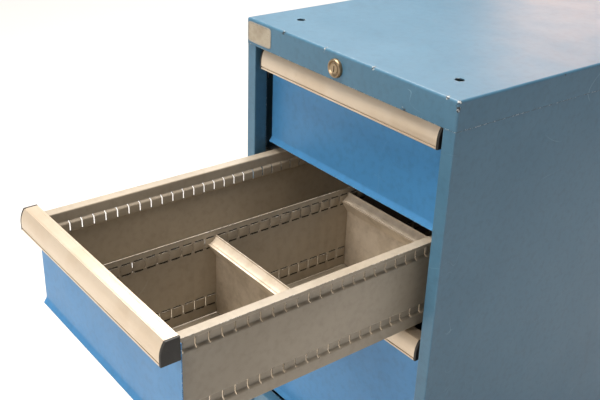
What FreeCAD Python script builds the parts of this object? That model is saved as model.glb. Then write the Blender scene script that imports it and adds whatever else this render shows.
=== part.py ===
import FreeCAD, Part

import math
import os

import Sketcher
from FreeCAD import Rotation, Vector

# A three-drawer steel tool cabinet on four casters.
# X runs to the right, Y to the back, Z up. The origin is on the floor under the
# middle of the housing. The middle drawer is modelled pulled out by openDistance.

doc = FreeCAD.newDocument("ToolChest")
sheet = doc.addObject("Spreadsheet::Sheet", "Dims")

dimensions = [
    # housing
    ("housingWidth", 411, "outside width of the top cap"),
    ("housingDepth", 725, "outside depth of the top cap"),
    ("skirtHeight", 37.5, "height of the top cap's skirt"),
    ("bottomRailHeight", 60.5, "space under the lowest drawer front"),
    ("sheetThickness", 1.5, "housing sheet"),
    ("bendRadius", 3, "outside radius of the housing's folds"),
    ("capOverhang", 0.8, "how far the cap stands proud of the side panels"),
    ("postWidth", 19.2, "face of the front post"),
    ("postReturn", 21, "depth of the fold behind the post's face"),
    ("rearFlange", 18, "fold at the back of a side panel"),
    ("topHoleRadius", 6, "holes in the cap for a fixed worktop"),
    ("topHoleInsetSide", 52.5, "worktop hole from the cap's side"),
    ("topHoleInsetEnd", 56.5, "worktop hole from the cap's front or back"),
    ("sheetGap", 0.2, "gap where one sheet stands inside another"),
    ("bottomRailInset", 3, "bottom rail behind the front posts"),
    ("baseUpstand", 25, "fold round the base pan"),
    ("plateWidth", 55, "blank name plate"),
    ("plateHeight", 29, "blank name plate"),
    ("plateThickness", 0.6, "blank name plate"),
    # drawer fronts
    ("frontGap", 2, "gap between the skirt and the first front"),
    ("frontPitchUpper", 150, "front height of the top drawer"),
    ("frontPitchMiddle", 150, "front height of the middle drawer"),
    ("frontPitchLower", 300, "front height of the bottom drawer"),
    ("frontInset", 27, "from the cap's side to a drawer front"),
    ("frontSheet", 1.2, "drawer front sheet"),
    ("lipForward", 5, "how far the lower lip flares forward"),
    ("lipHeight", 8, "height of the flared lip"),
    ("lipEdge", 1.68, "lip's lower edge, front to back"),
    ("lipInnerDrop", 0.6, "lip's inner bend below the outer one"),
    ("lipGap", 2, "from a lip to the next handle's top"),
    ("openDistance", 372, "how far the middle drawer is pulled out"),
    # handles
    ("handleSetback", 3.7, "handle front behind the cap's face"),
    ("handleDepth", 23.7, "front to back"),
    ("handleHeight", 29.5, "top to bottom"),
    ("handleFlat", 17.5, "flat stretch of the handle's top"),
    ("handleChin", 10, "straight stretch under the round front"),
    ("handleRound", 34, "radius of the round front"),
    ("grooveHeight", 1.6, "label groove above the handle's lip"),
    ("grooveDepth", 1.8, "label groove above the handle's lip"),
    ("grooveLift", 2.4, "groove's lower edge above the handle's bottom"),
    ("handleCap", 3.5, "thickness of a plastic end cap"),
    # drawer trays
    ("flangeInset", 34.6, "from the cap's side to the tray's flange"),
    ("flangeWidth", 13, "flange outside the tray's wall"),
    ("flangeDrop", 9, "tray flange below the handle's top"),
    ("trayLift", 8.3, "tray's underside above the next handle's top"),
    ("traySheet", 1.2, "tray sheet"),
    ("trayRearGap", 74.4, "closed tray's end before the housing's back"),
    ("beadDepth", 4, "how far a slotted bead stands into the tray"),
    ("beadHeight", 13.5, "opening of a bead, seen from outside"),
    ("beadDrop", 16, "upper bead below the flange"),
    ("beadLift", 18, "lower bead above the tray's underside"),
    ("slotPitch", 17, "from slot to slot"),
    ("slotWidth", 2.2, "width of a slot"),
    ("wallFoot", 12, "foot of a tray's end wall"),
    ("slotStart", 13.5, "first slot behind the tray's front end"),
    ("partitionPlace", 8, "slot pitches from the left bead to the partition"),
    ("partitionDrop", 7, "partition's top below the flange"),
    ("dividerDrop", 14, "dividers' top below the flange"),
    ("dividerSheet", 1, "partition and divider sheet"),
    ("dividerFrontPlace", 9, "slot number of the front divider"),
    ("dividerRearPlace", 22, "slot number of the rear divider"),
    ("holderDepth", 12, "label holder in front of a divider"),
    ("holderEdge", 9.6, "holder's front edge below the divider's top"),
    ("holderFoot", 29.5, "holder's lower edge below the divider's top"),
    ("holderFoldInset", 1.5, "holder's inner fold behind its front edge"),
    ("holderFoldDrop", 1.3, "holder's inner fold below its front edge"),
    ("holderRoot", 4, "holder's inner corner below the divider's top"),
    # slides
    ("railSheet", 2, "slide rail"),
    ("railReach", 30, "slide rail's depth from the side panel"),
    ("railFront", 34, "slide rail's front end behind the cap's face"),
    ("railRear", 14, "slide rail's rear end before the housing's back"),
    ("frontRollerRadius", 9, "roller under the flange"),
    ("frontRollerPlace", 52, "front roller behind the cap's face"),
    ("rearRollerRadius", 11, "roller on the tray, inside the rail"),
    ("rearRollerPlace", 24, "rear roller ahead of the tray's back end"),
    ("rearRollerDrop", 20, "rear roller's centre below the flange"),
    ("rollerWidth", 10, "both rollers"),
    ("rollerSideGap", 1, "front roller beside the tray's wall"),
    ("rearRollerGap", 4, "rear roller beside the rail's web"),
    ("holderLength", 32, "rear roller's holder, front to back"),
    ("holderSheet", 2, "rear roller's holder"),
    ("holderDrop", 22, "holder below the rear roller's centre"),
    ("pinRadius", 3, "roller pins"),
    ("fitClearance", 0.06, "radial clearance of a pin in a bore"),
    ("rollingClearance", 0.3, "roller to the face it carries"),
    # lock
    ("lockOffset", -5.5, "lock's centre from the middle"),
    ("lockDrop", 20, "lock's centre below the cap's top"),
    ("lockRingRadius", 12.5, "raised ring"),
    ("lockRingProud", 5, "raised ring"),
    ("lockBarrelRadius", 9, "barrel through the skirt"),
    ("lockBarrelLength", 20, "barrel behind the cap's face"),
    ("lockPlugRadius", 6.5, "turning plug"),
    ("lockNutThickness", 4, "nut behind the skirt"),
    ("lockNutExtra", 1, "nut's corners beyond the ring"),
    ("dishDepth", 1.6, "hollow in the ring's face"),
    ("dishRim", 2, "flat rim outside the hollow"),
    ("dishFloor", 1, "flat floor between the hollow and the plug"),
    ("cutSlack", 0.1, "how far a cutting shape starts outside a face"),
    ("keywayWidth", 1.8, "key slot"),
    ("keywayHeight", 8, "key slot"),
    ("keywayDepth", 9, "key slot"),
    ("camThickness", 3, "cam behind the plug"),
    ("camArm", 7.071, "cam pin's distance from the plug's axis"),
    ("camPinRadius", 1.5, "pin that drives the locking bar"),
    ("camRim", 2.5, "cam's metal beyond its pin's centre"),
    ("camPinSlack", 0.6, "bar's window round the cam's pin"),
    ("barThickness", 2, "locking bar"),
    ("barHeight", 15, "locking bar's upper run"),
    ("barLegWidth", 8.5, "locking bar's leg behind the left post"),
    ("barGap", 2, "locking bar from the cam and from the side panel"),
    ("barTab", 4, "tabs on the locking bar's leg"),
    ("barTabDrop", 41.3, "tab's top below a handle's top"),
    ("barTabHeight", 10, "tabs on the locking bar's leg"),
    # running gear
    ("casterClearance", 25, "wheel's top to the caster's mounting face"),
    ("beamHeight", 30, "channel between casters and housing"),
    ("beamWidth", 96, "channel, front to back"),
    ("beamSheet", 3, "channel sheet"),
    ("casterInsetSide", 62, "caster plate's centre from the cap's side"),
    ("casterInsetEnd", 66, "caster plate's centre from the cap's front or back"),
    ("casterPlateLength", 100, "mounting plate, side to side"),
    ("casterPlateWidth", 84, "mounting plate, front to back"),
    ("casterPlateSheet", 4, "mounting plate"),
    ("casterBoltAcross", 80, "plate's bolt spacing, side to side"),
    ("casterBoltBack", 60, "plate's bolt spacing, front to back"),
    ("casterBoltRadius", 4, "bolts that hold the plate"),
    ("boltHeadHeight", 5, "heads of the caster's bolts"),
    ("beamEndGap", 4, "channel's end inside the side panel"),
    ("wheelRadius", 50, "wheel"),
    ("wheelWidth", 30, "wheel"),
    ("wheelEdge", 4, "rounding of the tread's edge"),
    ("hubRadius", 14, "wheel's hub"),
    ("webInset", 6, "wheel's web behind the hub's face"),
    ("treadThickness", 9, "rim and tread outside the web"),
    ("axleRadius", 5, "wheel axle"),
    ("casterTrail", 32, "swivel axis to wheel axle"),
    ("forkSheet", 3, "fork legs"),
    ("forkGap", 3, "wheel to fork leg"),
    ("crownRadius", 30, "swivel bearing"),
    ("bearingHeight", 5, "swivel bearing"),
    ("bearingGap", 0.4, "fork's crown to the bearing"),
    ("forkToe", 28, "fork's front edge ahead of the swivel axis"),
    ("forkHeel", 32, "fork's rear edge behind the swivel axis or axle"),
    ("forkHeelDrop", 8, "fork's rear corner below the wheel's top"),
    ("forkFoot", 12, "fork's lower end around the axle"),
    ("kingpinHead", 4, "kingpin's head, in height and beyond the pin"),
    ("kingpinRadius", 6, "pin that the fork turns on"),
    ("pedalPivotBack", 22, "pedal's pin behind the wheel's axle"),
    ("pedalPivotLift", 4, "pedal's pin above the wheel's top"),
    ("pedalReach", 40, "pedal's tip behind its pin"),
    ("axleHeadRatio", 1.8, "axle bolt's head to its shank"),
    ("boltHeadRatio", 1.7, "plate bolt's head to its shank"),
]

for row, (alias, value, meaning) in enumerate(dimensions, start=1):
    sheet.set(f"A{row}", meaning)
    sheet.set(f"B{row}", str(value))
    sheet.setAlias(f"B{row}", alias)
doc.recompute()


def named(text):
    """Put the sheet's name before every alias in an expression."""
    for alias in sorted((entry[0] for entry in dimensions), key=len, reverse=True):
        text = text.replace(f"#{alias}", f"Dims.{alias}")
    return text


def bind(item, attribute, text):
    item.setExpression(attribute, named(text))


def value(text):
    result = sheet.evalExpression(named(text))
    return float(getattr(result, "Value", result))


def sided(side, inner, outer):
    """A stretch between two distances from the middle plane, on one side."""
    return (inner, outer) if side > 0 else (f"-({outer})", f"-({inner})")


def slab(name, across, back, up):
    """A box between pairs of planes."""
    solid = doc.addObject("Part::Box", name)
    sizes = ("Length", "Width", "Height")
    for size, axis, (low, high) in zip(sizes, "xyz", (across, back, up)):
        bind(solid, size, f"({high}) - ({low})")
        bind(solid, f"Placement.Base.{axis}", low)
    return solid


hexagonSides = 6

turns = {
    "x": Rotation(Vector(0, 1, 0), 90),
    "y": Rotation(Vector(1, 0, 0), -90),
    "z": Rotation(),
}


def rod(name, radius, along, start, length):
    """A cylinder from a start point along one axis."""
    solid = doc.addObject("Part::Cylinder", name)
    bind(solid, "Radius", radius)
    bind(solid, "Height", length)
    solid.Placement = FreeCAD.Placement(Vector(), turns[along])
    for axis, place in zip("xyz", start):
        bind(solid, f"Placement.Base.{axis}", place)
    return solid


def joined(name, solids):
    whole = doc.addObject("Part::MultiFuse", name)
    whole.Shapes = solids
    return whole


def carved(name, base, tools):
    tool = tools[0] if len(tools) == 1 else joined(f"{name}_tools", tools)
    whole = doc.addObject("Part::Cut", name)
    whole.Base = base
    whole.Tool = tool
    return whole


def grouped(name, solids):
    whole = doc.addObject("Part::Compound", name)
    whole.Links = solids
    return whole


planes = {"xy": "XY_Plane", "xz": "XZ_Plane", "yz": "YZ_Plane"}
padAxes = {"xy": "z", "xz": "y", "yz": "x"}


def drawnOn(body, plane, name):
    """An empty sketch on one of the body's own origin planes."""
    sketch = body.newObject("Sketcher::SketchObject", name)
    support = [f for f in body.Origin.OriginFeatures if f.Role == planes[plane]]
    sketch.AttachmentSupport = (support[0], [""])
    sketch.MapMode = "FlatFace"
    return sketch


def pin(sketch, item, end, place):
    """Hold one end of a line or arc at a place given by two expressions."""
    for kind, text in zip(("DistanceX", "DistanceY"), place):
        rule = Sketcher.Constraint(kind, -1, 1, item, end, value(text))
        index = sketch.addConstraint(rule)
        bind(sketch, f"Constraints[{index}]", text)


def outline(sketch, corners, rounds=None):
    """A closed outline; rounds maps a corner's number to the radius of the arc
    that runs from it to the next corner, bulging to the left of that run."""
    rounds = rounds or {}
    spots = [Vector(value(across), value(up), 0) for across, up in corners]
    first = sketch.GeometryCount
    for number, start in enumerate(spots):
        end = spots[(number + 1) % len(spots)]
        if number not in rounds:
            sketch.addGeometry(Part.LineSegment(start, end), False)
            continue
        radius = value(rounds[number])
        run = end - start
        left = Vector(-run.y, run.x, 0).normalize()
        centre = (start + end) * 0.5 - left * (radius**2 - run.Length**2 / 4) ** 0.5
        circle = Part.Circle(centre, Vector(0, 0, 1), radius)
        angles = [math.atan2(spot.y - centre.y, spot.x - centre.x) for spot in (end, start)]
        if angles[1] < angles[0]:
            angles[1] += 2 * math.pi
        sketch.addGeometry(Part.ArcOfCircle(circle, *angles), False)
    for number, corner in enumerate(corners):
        item = first + number
        if number in rounds:
            # an arc runs anticlockwise, so it starts at the next corner
            pin(sketch, item, 1, corners[(number + 1) % len(corners)])
            pin(sketch, item, 2, corner)
            rule = Sketcher.Constraint("Radius", item, value(rounds[number]))
            index = sketch.addConstraint(rule)
            bind(sketch, f"Constraints[{index}]", rounds[number])
        else:
            pin(sketch, item, 1, corner)
            pin(sketch, item, 2, corners[(number + 1) % len(corners)])


def extruded(name, plane, corners, low, high, rounds=None):
    """A body padded from an outline, between two planes along the pad's axis."""
    body = doc.addObject("PartDesign::Body", name)
    sketch = drawnOn(body, plane, f"{name}_outline")
    outline(sketch, corners, rounds)
    pad = body.newObject("PartDesign::Pad", f"{name}_pad")
    pad.Profile = sketch
    pad.Reversed = plane == "xz"
    bind(pad, "Length", f"({high}) - ({low})")
    bind(body, f"Placement.Base.{padAxes[plane]}", low)
    body.Tip = pad
    return body


def softened(body, radius, wanted):
    """Round the edges of a body's tip whose middle and direction are wanted."""
    doc.recompute()
    edges = []
    for number, edge in enumerate(body.Tip.Shape.Edges, start=1):
        box = edge.BoundBox
        if wanted(box):
            edges.append(f"Edge{number}")
    fillet = body.newObject("PartDesign::Fillet", f"{body.Name}_fillet")
    fillet.Base = (body.Tip if body.Tip != fillet else fillet.BaseFeature, edges)
    bind(fillet, "Radius", radius)
    body.Tip = fillet
    return body


def near(first, second):
    return abs(first - second) < 0.01


# planes that the housing and the drawers share
mountingFace = "(2 * #wheelRadius + #casterClearance)"
top = f"({mountingFace} + #beamHeight + #skirtHeight + #frontGap + #frontPitchUpper"
top += " + #frontPitchMiddle + #frontPitchLower + #bottomRailHeight)"
floor = f"({mountingFace} + #beamHeight)"
front = "(-#housingDepth / 2)"
back = "(#housingDepth / 2)"
half = "(#housingWidth / 2)"
sideOuter = f"({half} - #capOverhang)"
sideInner = f"({half} - #capOverhang - #sheetThickness)"
postInner = f"({sideOuter} - #postWidth)"
skirtBottom = f"({top} - #skirtHeight)"
frontPlane = f"({front} + #handleSetback + #handleDepth)"
trayLength = f"({back} - #trayRearGap - {frontPlane} - #frontSheet)"
# the row of slots fills the tray; the small addend only guards the rounding down
slotCount = f"(floor(({trayLength} - 2 * #slotStart) / #slotPitch + 0.01) + 1)"

pieces = {}


def keep(label, item):
    """Give a finished sub-part its own label."""
    item.Label = label
    pieces[label] = item


def topCap():
    """Folded lid: four skirts, worktop holes and the lock's hole."""
    body = doc.addObject("PartDesign::Body", "cap_blank")
    plan = drawnOn(body, "xy", "cap_plan")
    outline(plan, [(f"-{half}", front), (half, front), (half, back), (f"-{half}", back)])
    pad = body.newObject("PartDesign::Pad", "cap_pad")
    pad.Profile = plan
    bind(pad, "Length", "#skirtHeight")
    body.Tip = pad
    height = value("#skirtHeight")
    softened(
        body,
        "#bendRadius",
        lambda box: near(box.ZMin, height) or near(box.ZLength, height),
    )
    inside = drawnOn(body, "xy", "cap_inside")
    wallSide = f"({half} - #sheetThickness)"
    wallFront = f"({front} + #sheetThickness)"
    wallBack = f"({back} - #sheetThickness)"
    corners = [(f"-{wallSide}", wallFront), (wallSide, wallFront)]
    corners += [(wallSide, wallBack), (f"-{wallSide}", wallBack)]
    outline(inside, corners)
    hollow = body.newObject("PartDesign::Pocket", "cap_hollow")
    hollow.Profile = inside
    hollow.Reversed = True
    bind(hollow, "Length", "#skirtHeight - #sheetThickness")
    body.Tip = hollow
    bind(body, "Placement.Base.z", skirtBottom)
    drills = []
    holeAcross = f"({half} - #topHoleInsetSide)"
    holeBack = f"({back} - #topHoleInsetEnd)"
    for right in (-1, 1):
        for rear in (-1, 1):
            spot = (f"{right} * {holeAcross}", f"{rear} * {holeBack}")
            start = (*spot, f"{top} - 2 * #sheetThickness")
            name = f"cap_hole_{right + 1}_{rear + 1}"
            drills.append(rod(name, "#topHoleRadius", "z", start, "3 * #sheetThickness"))
    lockStart = ("#lockOffset", f"{front} - #sheetThickness", f"{top} - #lockDrop")
    drills.append(rod("cap_lock_hole", "#lockBarrelRadius", "y", lockStart, "3 * #sheetThickness"))
    keep("top_cap", carved("cap_drilled", body, drills))


def sidePanel(side, label):
    """Side wall folded into the front post and a rear flange."""
    outer = f"{side} * {sideOuter}"
    inner = f"{side} * {sideInner}"
    faceFront = f"({front} + #capOverhang)"
    faceBack = f"({faceFront} + #sheetThickness)"
    rearFace = f"({back} - #capOverhang)"
    rearInside = f"({rearFace} - #sheetThickness)"
    postEdge = f"{side} * {postInner}"
    returnInside = f"{side} * ({postInner} + #sheetThickness)"
    returnEnd = f"({faceFront} + #postReturn)"
    rearEdge = f"{side} * ({sideOuter} - #rearFlange)"
    corners = [(outer, faceFront), (outer, rearFace), (rearEdge, rearFace)]
    corners += [(rearEdge, rearInside), (inner, rearInside), (inner, faceBack)]
    corners += [(returnInside, faceBack), (returnInside, returnEnd)]
    corners += [(postEdge, returnEnd), (postEdge, faceFront)]
    body = extruded(f"{label}_body", "xy", corners, floor, skirtBottom)
    frontY = value(faceFront)
    rearY = value(rearFace)
    outerX = value(outer)
    height = value(f"{skirtBottom} - {floor}")

    def folded(box):
        rearFold = near(box.YMin, rearY) and near(box.XMin, outerX)
        return near(box.ZLength, height) and (near(box.YMin, frontY) or rearFold)

    softened(body, "#bendRadius / 2", folded)
    keep(label, body)


def housingShell():
    topCap()
    sidePanel(-1, "side_panel_left")
    sidePanel(1, "side_panel_right")
    rear = f"({back} - #capOverhang - #sheetThickness)"
    across = (f"-({sideInner} - #sheetGap)", f"({sideInner} - #sheetGap)")
    panel = slab("back_sheet", across, (f"{rear} - #sheetThickness", rear), (floor, skirtBottom))
    keep("back_panel", panel)

    panStart = f"({front} + #capOverhang + #postReturn + #frontGap)"
    panEnd = f"({rear} - #sheetThickness)"
    panTop = f"({floor} + #baseUpstand)"
    blank = slab("pan_blank", across, (panStart, panEnd), (floor, panTop))
    hollowSide = f"({sideInner} - #sheetGap - #sheetThickness)"
    hollowAcross = (f"-{hollowSide}", hollowSide)
    hollowBack = (f"{panStart} + #sheetThickness", f"{panEnd} - #sheetThickness")
    hollowUp = (f"{floor} + #sheetThickness", f"{panTop} + 1")
    hollow = slab("pan_hollow", hollowAcross, hollowBack, hollowUp)
    keep("base_pan", carved("pan_folded", blank, [hollow]))

    face = f"({front} + #capOverhang + #bottomRailInset)"
    railTop = f"({floor} + #bottomRailHeight - #lipGap)"
    rearEdge = f"({front} + #capOverhang + #postReturn)"
    corners = [(face, floor), (rearEdge, floor)]
    corners += [(rearEdge, f"{floor} + #sheetThickness")]
    corners += [(f"{face} + #sheetThickness", f"{floor} + #sheetThickness")]
    corners += [(f"{face} + #sheetThickness", f"{railTop} - #sheetThickness")]
    corners += [(rearEdge, f"{railTop} - #sheetThickness"), (rearEdge, railTop)]
    corners += [(face, railTop)]
    rail = extruded("rail_body", "yz", corners, f"-{postInner}", postInner)
    frontY = value(face)
    across = value(f"2 * {postInner}")
    softened(
        rail,
        "#bendRadius / 2",
        lambda box: near(box.XLength, across) and near(box.YMax, frontY),
    )
    keep("bottom_rail", rail)

    plateLeft = f"(-{half} + #bendRadius)"
    plateMiddle = f"({top} - #skirtHeight / 2)"
    plate = slab(
        "plate",
        (plateLeft, f"{plateLeft} + #plateWidth"),
        (f"{front} - #plateThickness", front),
        (f"{plateMiddle} - #plateHeight / 2", f"{plateMiddle} + #plateHeight / 2"),
    )
    keep("name_plate", plate)


def lock():
    """Cam lock in the skirt and the bar that it moves."""
    height = f"({top} - #lockDrop)"
    ringFront = f"({front} - #lockRingProud)"
    ringStart = ("#lockOffset", ringFront, height)
    tubeStart = ("#lockOffset", front, height)
    ring = rod("lock_ring", "#lockRingRadius", "y", ringStart, "#lockRingProud")
    tube = rod("lock_tube", "#lockBarrelRadius", "y", tubeStart, "#lockBarrelLength")
    bore = rod(
        "lock_bore",
        "#lockPlugRadius + #fitClearance",
        "y",
        ("#lockOffset", f"{ringFront} - 1", height),
        "#lockRingProud + #lockBarrelLength + 2",
    )
    dish = doc.addObject("Part::Cone", "lock_dish")
    bind(dish, "Radius1", "#lockRingRadius - #dishRim")
    bind(dish, "Radius2", "#lockPlugRadius + #dishFloor")
    bind(dish, "Height", "#dishDepth")
    dish.Placement = FreeCAD.Placement(Vector(), turns["y"])
    for axis, place in zip("xyz", ("#lockOffset", f"{ringFront} - #cutSlack", height)):
        bind(dish, f"Placement.Base.{axis}", place)
    barrel = carved("lock_bored", joined("lock_blank", [ring, tube]), [bore, dish])
    keep("lock_barrel", barrel)

    nutStart = ("#lockOffset", f"{front} + #sheetThickness", height)
    nutBlank = doc.addObject("Part::Prism", "nut_blank")
    nutBlank.Polygon = hexagonSides
    bind(nutBlank, "Circumradius", "#lockRingRadius + #lockNutExtra")
    bind(nutBlank, "Height", "#lockNutThickness")
    nutBlank.Placement = FreeCAD.Placement(Vector(), turns["y"])
    for axis, place in zip("xyz", nutStart):
        bind(nutBlank, f"Placement.Base.{axis}", place)
    nutBore = rod("nut_bore", "#lockBarrelRadius", "y", nutStart, "#lockNutThickness")
    keep("lock_nut", carved("nut_bored", nutBlank, [nutBore]))

    plugFront = f"({ringFront} + 1)"
    plugEnd = f"({front} + #lockBarrelLength + #sheetGap)"
    shank = rod(
        "plug_shank",
        "#lockPlugRadius",
        "y",
        ("#lockOffset", plugFront, height),
        f"{plugEnd} - {plugFront}",
    )
    keyway = slab(
        "keyway",
        ("#lockOffset - #keywayWidth / 2", "#lockOffset + #keywayWidth / 2"),
        (f"{plugFront} - 1", f"{plugFront} + #keywayDepth"),
        (f"{height} - #keywayHeight / 2 - 1", f"{height} + #keywayHeight / 2 - 1"),
    )
    keep("lock_plug", carved("plug_slotted", shank, [keyway]))

    # The cam's pin starts 45 degrees to the left of straight down.
    swing = "#camArm * sin(45 deg)"
    pinAcross = f"(#lockOffset - {swing})"
    pinHeight = f"({height} - {swing})"
    disc = rod("cam_disc", "#camArm + #camRim", "y", ("#lockOffset", plugEnd, height), "#camThickness")
    barFront = f"({plugEnd} + #camThickness + #barGap)"
    barBack = f"({barFront} + #barThickness)"
    pinStart = (pinAcross, f"{plugEnd} + 1", pinHeight)
    pinLength = f"{barBack} + #barGap - {plugEnd} - 1"
    driver = rod("cam_pin", "#camPinRadius", "y", pinStart, pinLength)
    keep("lock_cam", joined("cam", [disc, driver]))

    runTop = f"({height} + 1)"
    runBottom = f"({runTop} - #barHeight)"
    legOuter = f"({sideInner} - #barGap)"
    runAcross = (f"-{legOuter}", "#lockOffset + 2 * #camArm")
    run = slab("bar_run", runAcross, (barFront, barBack), (runBottom, runTop))
    legBottom = f"({floor} + #bottomRailHeight + #frontPitchLower / 2)"
    leg = slab(
        "bar_leg",
        (f"-{legOuter}", f"-{legOuter} + #barLegWidth"),
        (barFront, barBack),
        (legBottom, runTop),
    )
    tabs = []
    for number, (drawerTop, pitch) in enumerate(drawerSpans):
        tabTop = f"({drawerTop} - #barTabDrop)"
        tab = slab(
            f"bar_tab_{number}",
            (f"-{legOuter}", f"-{legOuter} + #barLegWidth + #barTab"),
            (barFront, barBack),
            (f"{tabTop} - #barTabHeight", tabTop),
        )
        tabs.append(tab)
    slotHalf = "(#camPinRadius + #camPinSlack)"
    window = slab(
        "bar_window",
        (f"{pinAcross} - {slotHalf}", f"{pinAcross} + {slotHalf}"),
        (f"{barFront} - 1", f"{barBack} + 1"),
        (f"{height} - #camArm - #camPinRadius - 1", f"{height} - {swing} + #camPinRadius + 1"),
    )
    bar = carved("bar_cut", joined("bar_blank", [run, leg] + tabs), [window])
    keep("lock_bar", bar)


# each drawer: the height of its handle's top and its front's height
upperTop = f"({skirtBottom} - #frontGap)"
middleTop = f"({upperTop} - #frontPitchUpper)"
lowerTop = f"({middleTop} - #frontPitchMiddle)"
drawerSpans = [
    (upperTop, "#frontPitchUpper"),
    (middleTop, "#frontPitchMiddle"),
    (lowerTop, "#frontPitchLower"),
]
drawerShifts = ["0", "-#openDistance", "0"]

flangeOuter = f"({half} - #flangeInset)"
wallOuter = f"({half} - #flangeInset - #flangeWidth)"
wallInner = f"({wallOuter} - #traySheet)"
beadInner = f"({wallInner} - #beadDepth)"


def trayPath(flangeTop, underside):
    """Half of the tray's section, from the middle of the floor to the flange:
    the outer surface, then the same path one sheet further in."""
    sheetIn = "#traySheet"
    lowBottom = f"({underside} + #beadLift)"
    lowTop = f"({lowBottom} + #beadHeight)"
    highTop = f"({flangeTop} - #beadDrop)"
    highBottom = f"({highTop} - #beadHeight)"
    beadOuter = f"({wallOuter} - #beadDepth)"
    outerPath = [(wallOuter, underside), (wallOuter, lowBottom), (beadOuter, lowBottom)]
    outerPath += [(beadOuter, lowTop), (wallOuter, lowTop), (wallOuter, highBottom)]
    outerPath += [(beadOuter, highBottom), (beadOuter, highTop), (wallOuter, highTop)]
    outerPath += [(wallOuter, f"{flangeTop} - {sheetIn}")]
    outerPath += [(flangeOuter, f"{flangeTop} - {sheetIn}"), (flangeOuter, flangeTop)]
    innerPath = [(wallInner, flangeTop), (wallInner, f"{highTop} + {sheetIn}")]
    innerPath += [(beadInner, f"{highTop} + {sheetIn}"), (beadInner, f"{highBottom} - {sheetIn}")]
    innerPath += [(wallInner, f"{highBottom} - {sheetIn}"), (wallInner, f"{lowTop} + {sheetIn}")]
    innerPath += [(beadInner, f"{lowTop} + {sheetIn}"), (beadInner, f"{lowBottom} - {sheetIn}")]
    innerPath += [(wallInner, f"{lowBottom} - {sheetIn}"), (wallInner, f"{underside} + {sheetIn}")]
    return outerPath, innerPath


def rows(flangeTop, underside):
    """Heights of the two slotted beads, over their folds."""
    lowBottom = f"({underside} + #beadLift - #traySheet)"
    lowTop = f"({underside} + #beadLift + #beadHeight + #traySheet)"
    highTop = f"({flangeTop} - #beadDrop + #traySheet)"
    highBottom = f"({flangeTop} - #beadDrop - #beadHeight - #traySheet)"
    return [(lowBottom, lowTop), (highBottom, highTop)]


def slotted(body, name, spans, firstSlot, reach):
    """Cut a row of upright slots through a body, at the slot pitch."""
    sketch = drawnOn(body, "yz", f"{name}_slots")
    for low, high in spans:
        begin = f"({firstSlot} - #slotWidth / 2)"
        end = f"({firstSlot} + #slotWidth / 2)"
        outline(sketch, [(begin, low), (end, low), (end, high), (begin, high)])
    pocket = body.newObject("PartDesign::Pocket", f"{name}_slot")
    pocket.Profile = sketch
    pocket.Midplane = True
    bind(pocket, "Length", reach)
    body.Tip = pocket
    doc.recompute()
    pattern = body.newObject("PartDesign::LinearPattern", f"{name}_row")
    pattern.Originals = [pocket]
    pattern.Direction = (sketch, ["H_Axis"])
    bind(pattern, "Length", f"({slotCount} - 1) * #slotPitch")
    bind(pattern, "Occurrences", slotCount)
    body.Tip = pattern
    doc.recompute()


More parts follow.
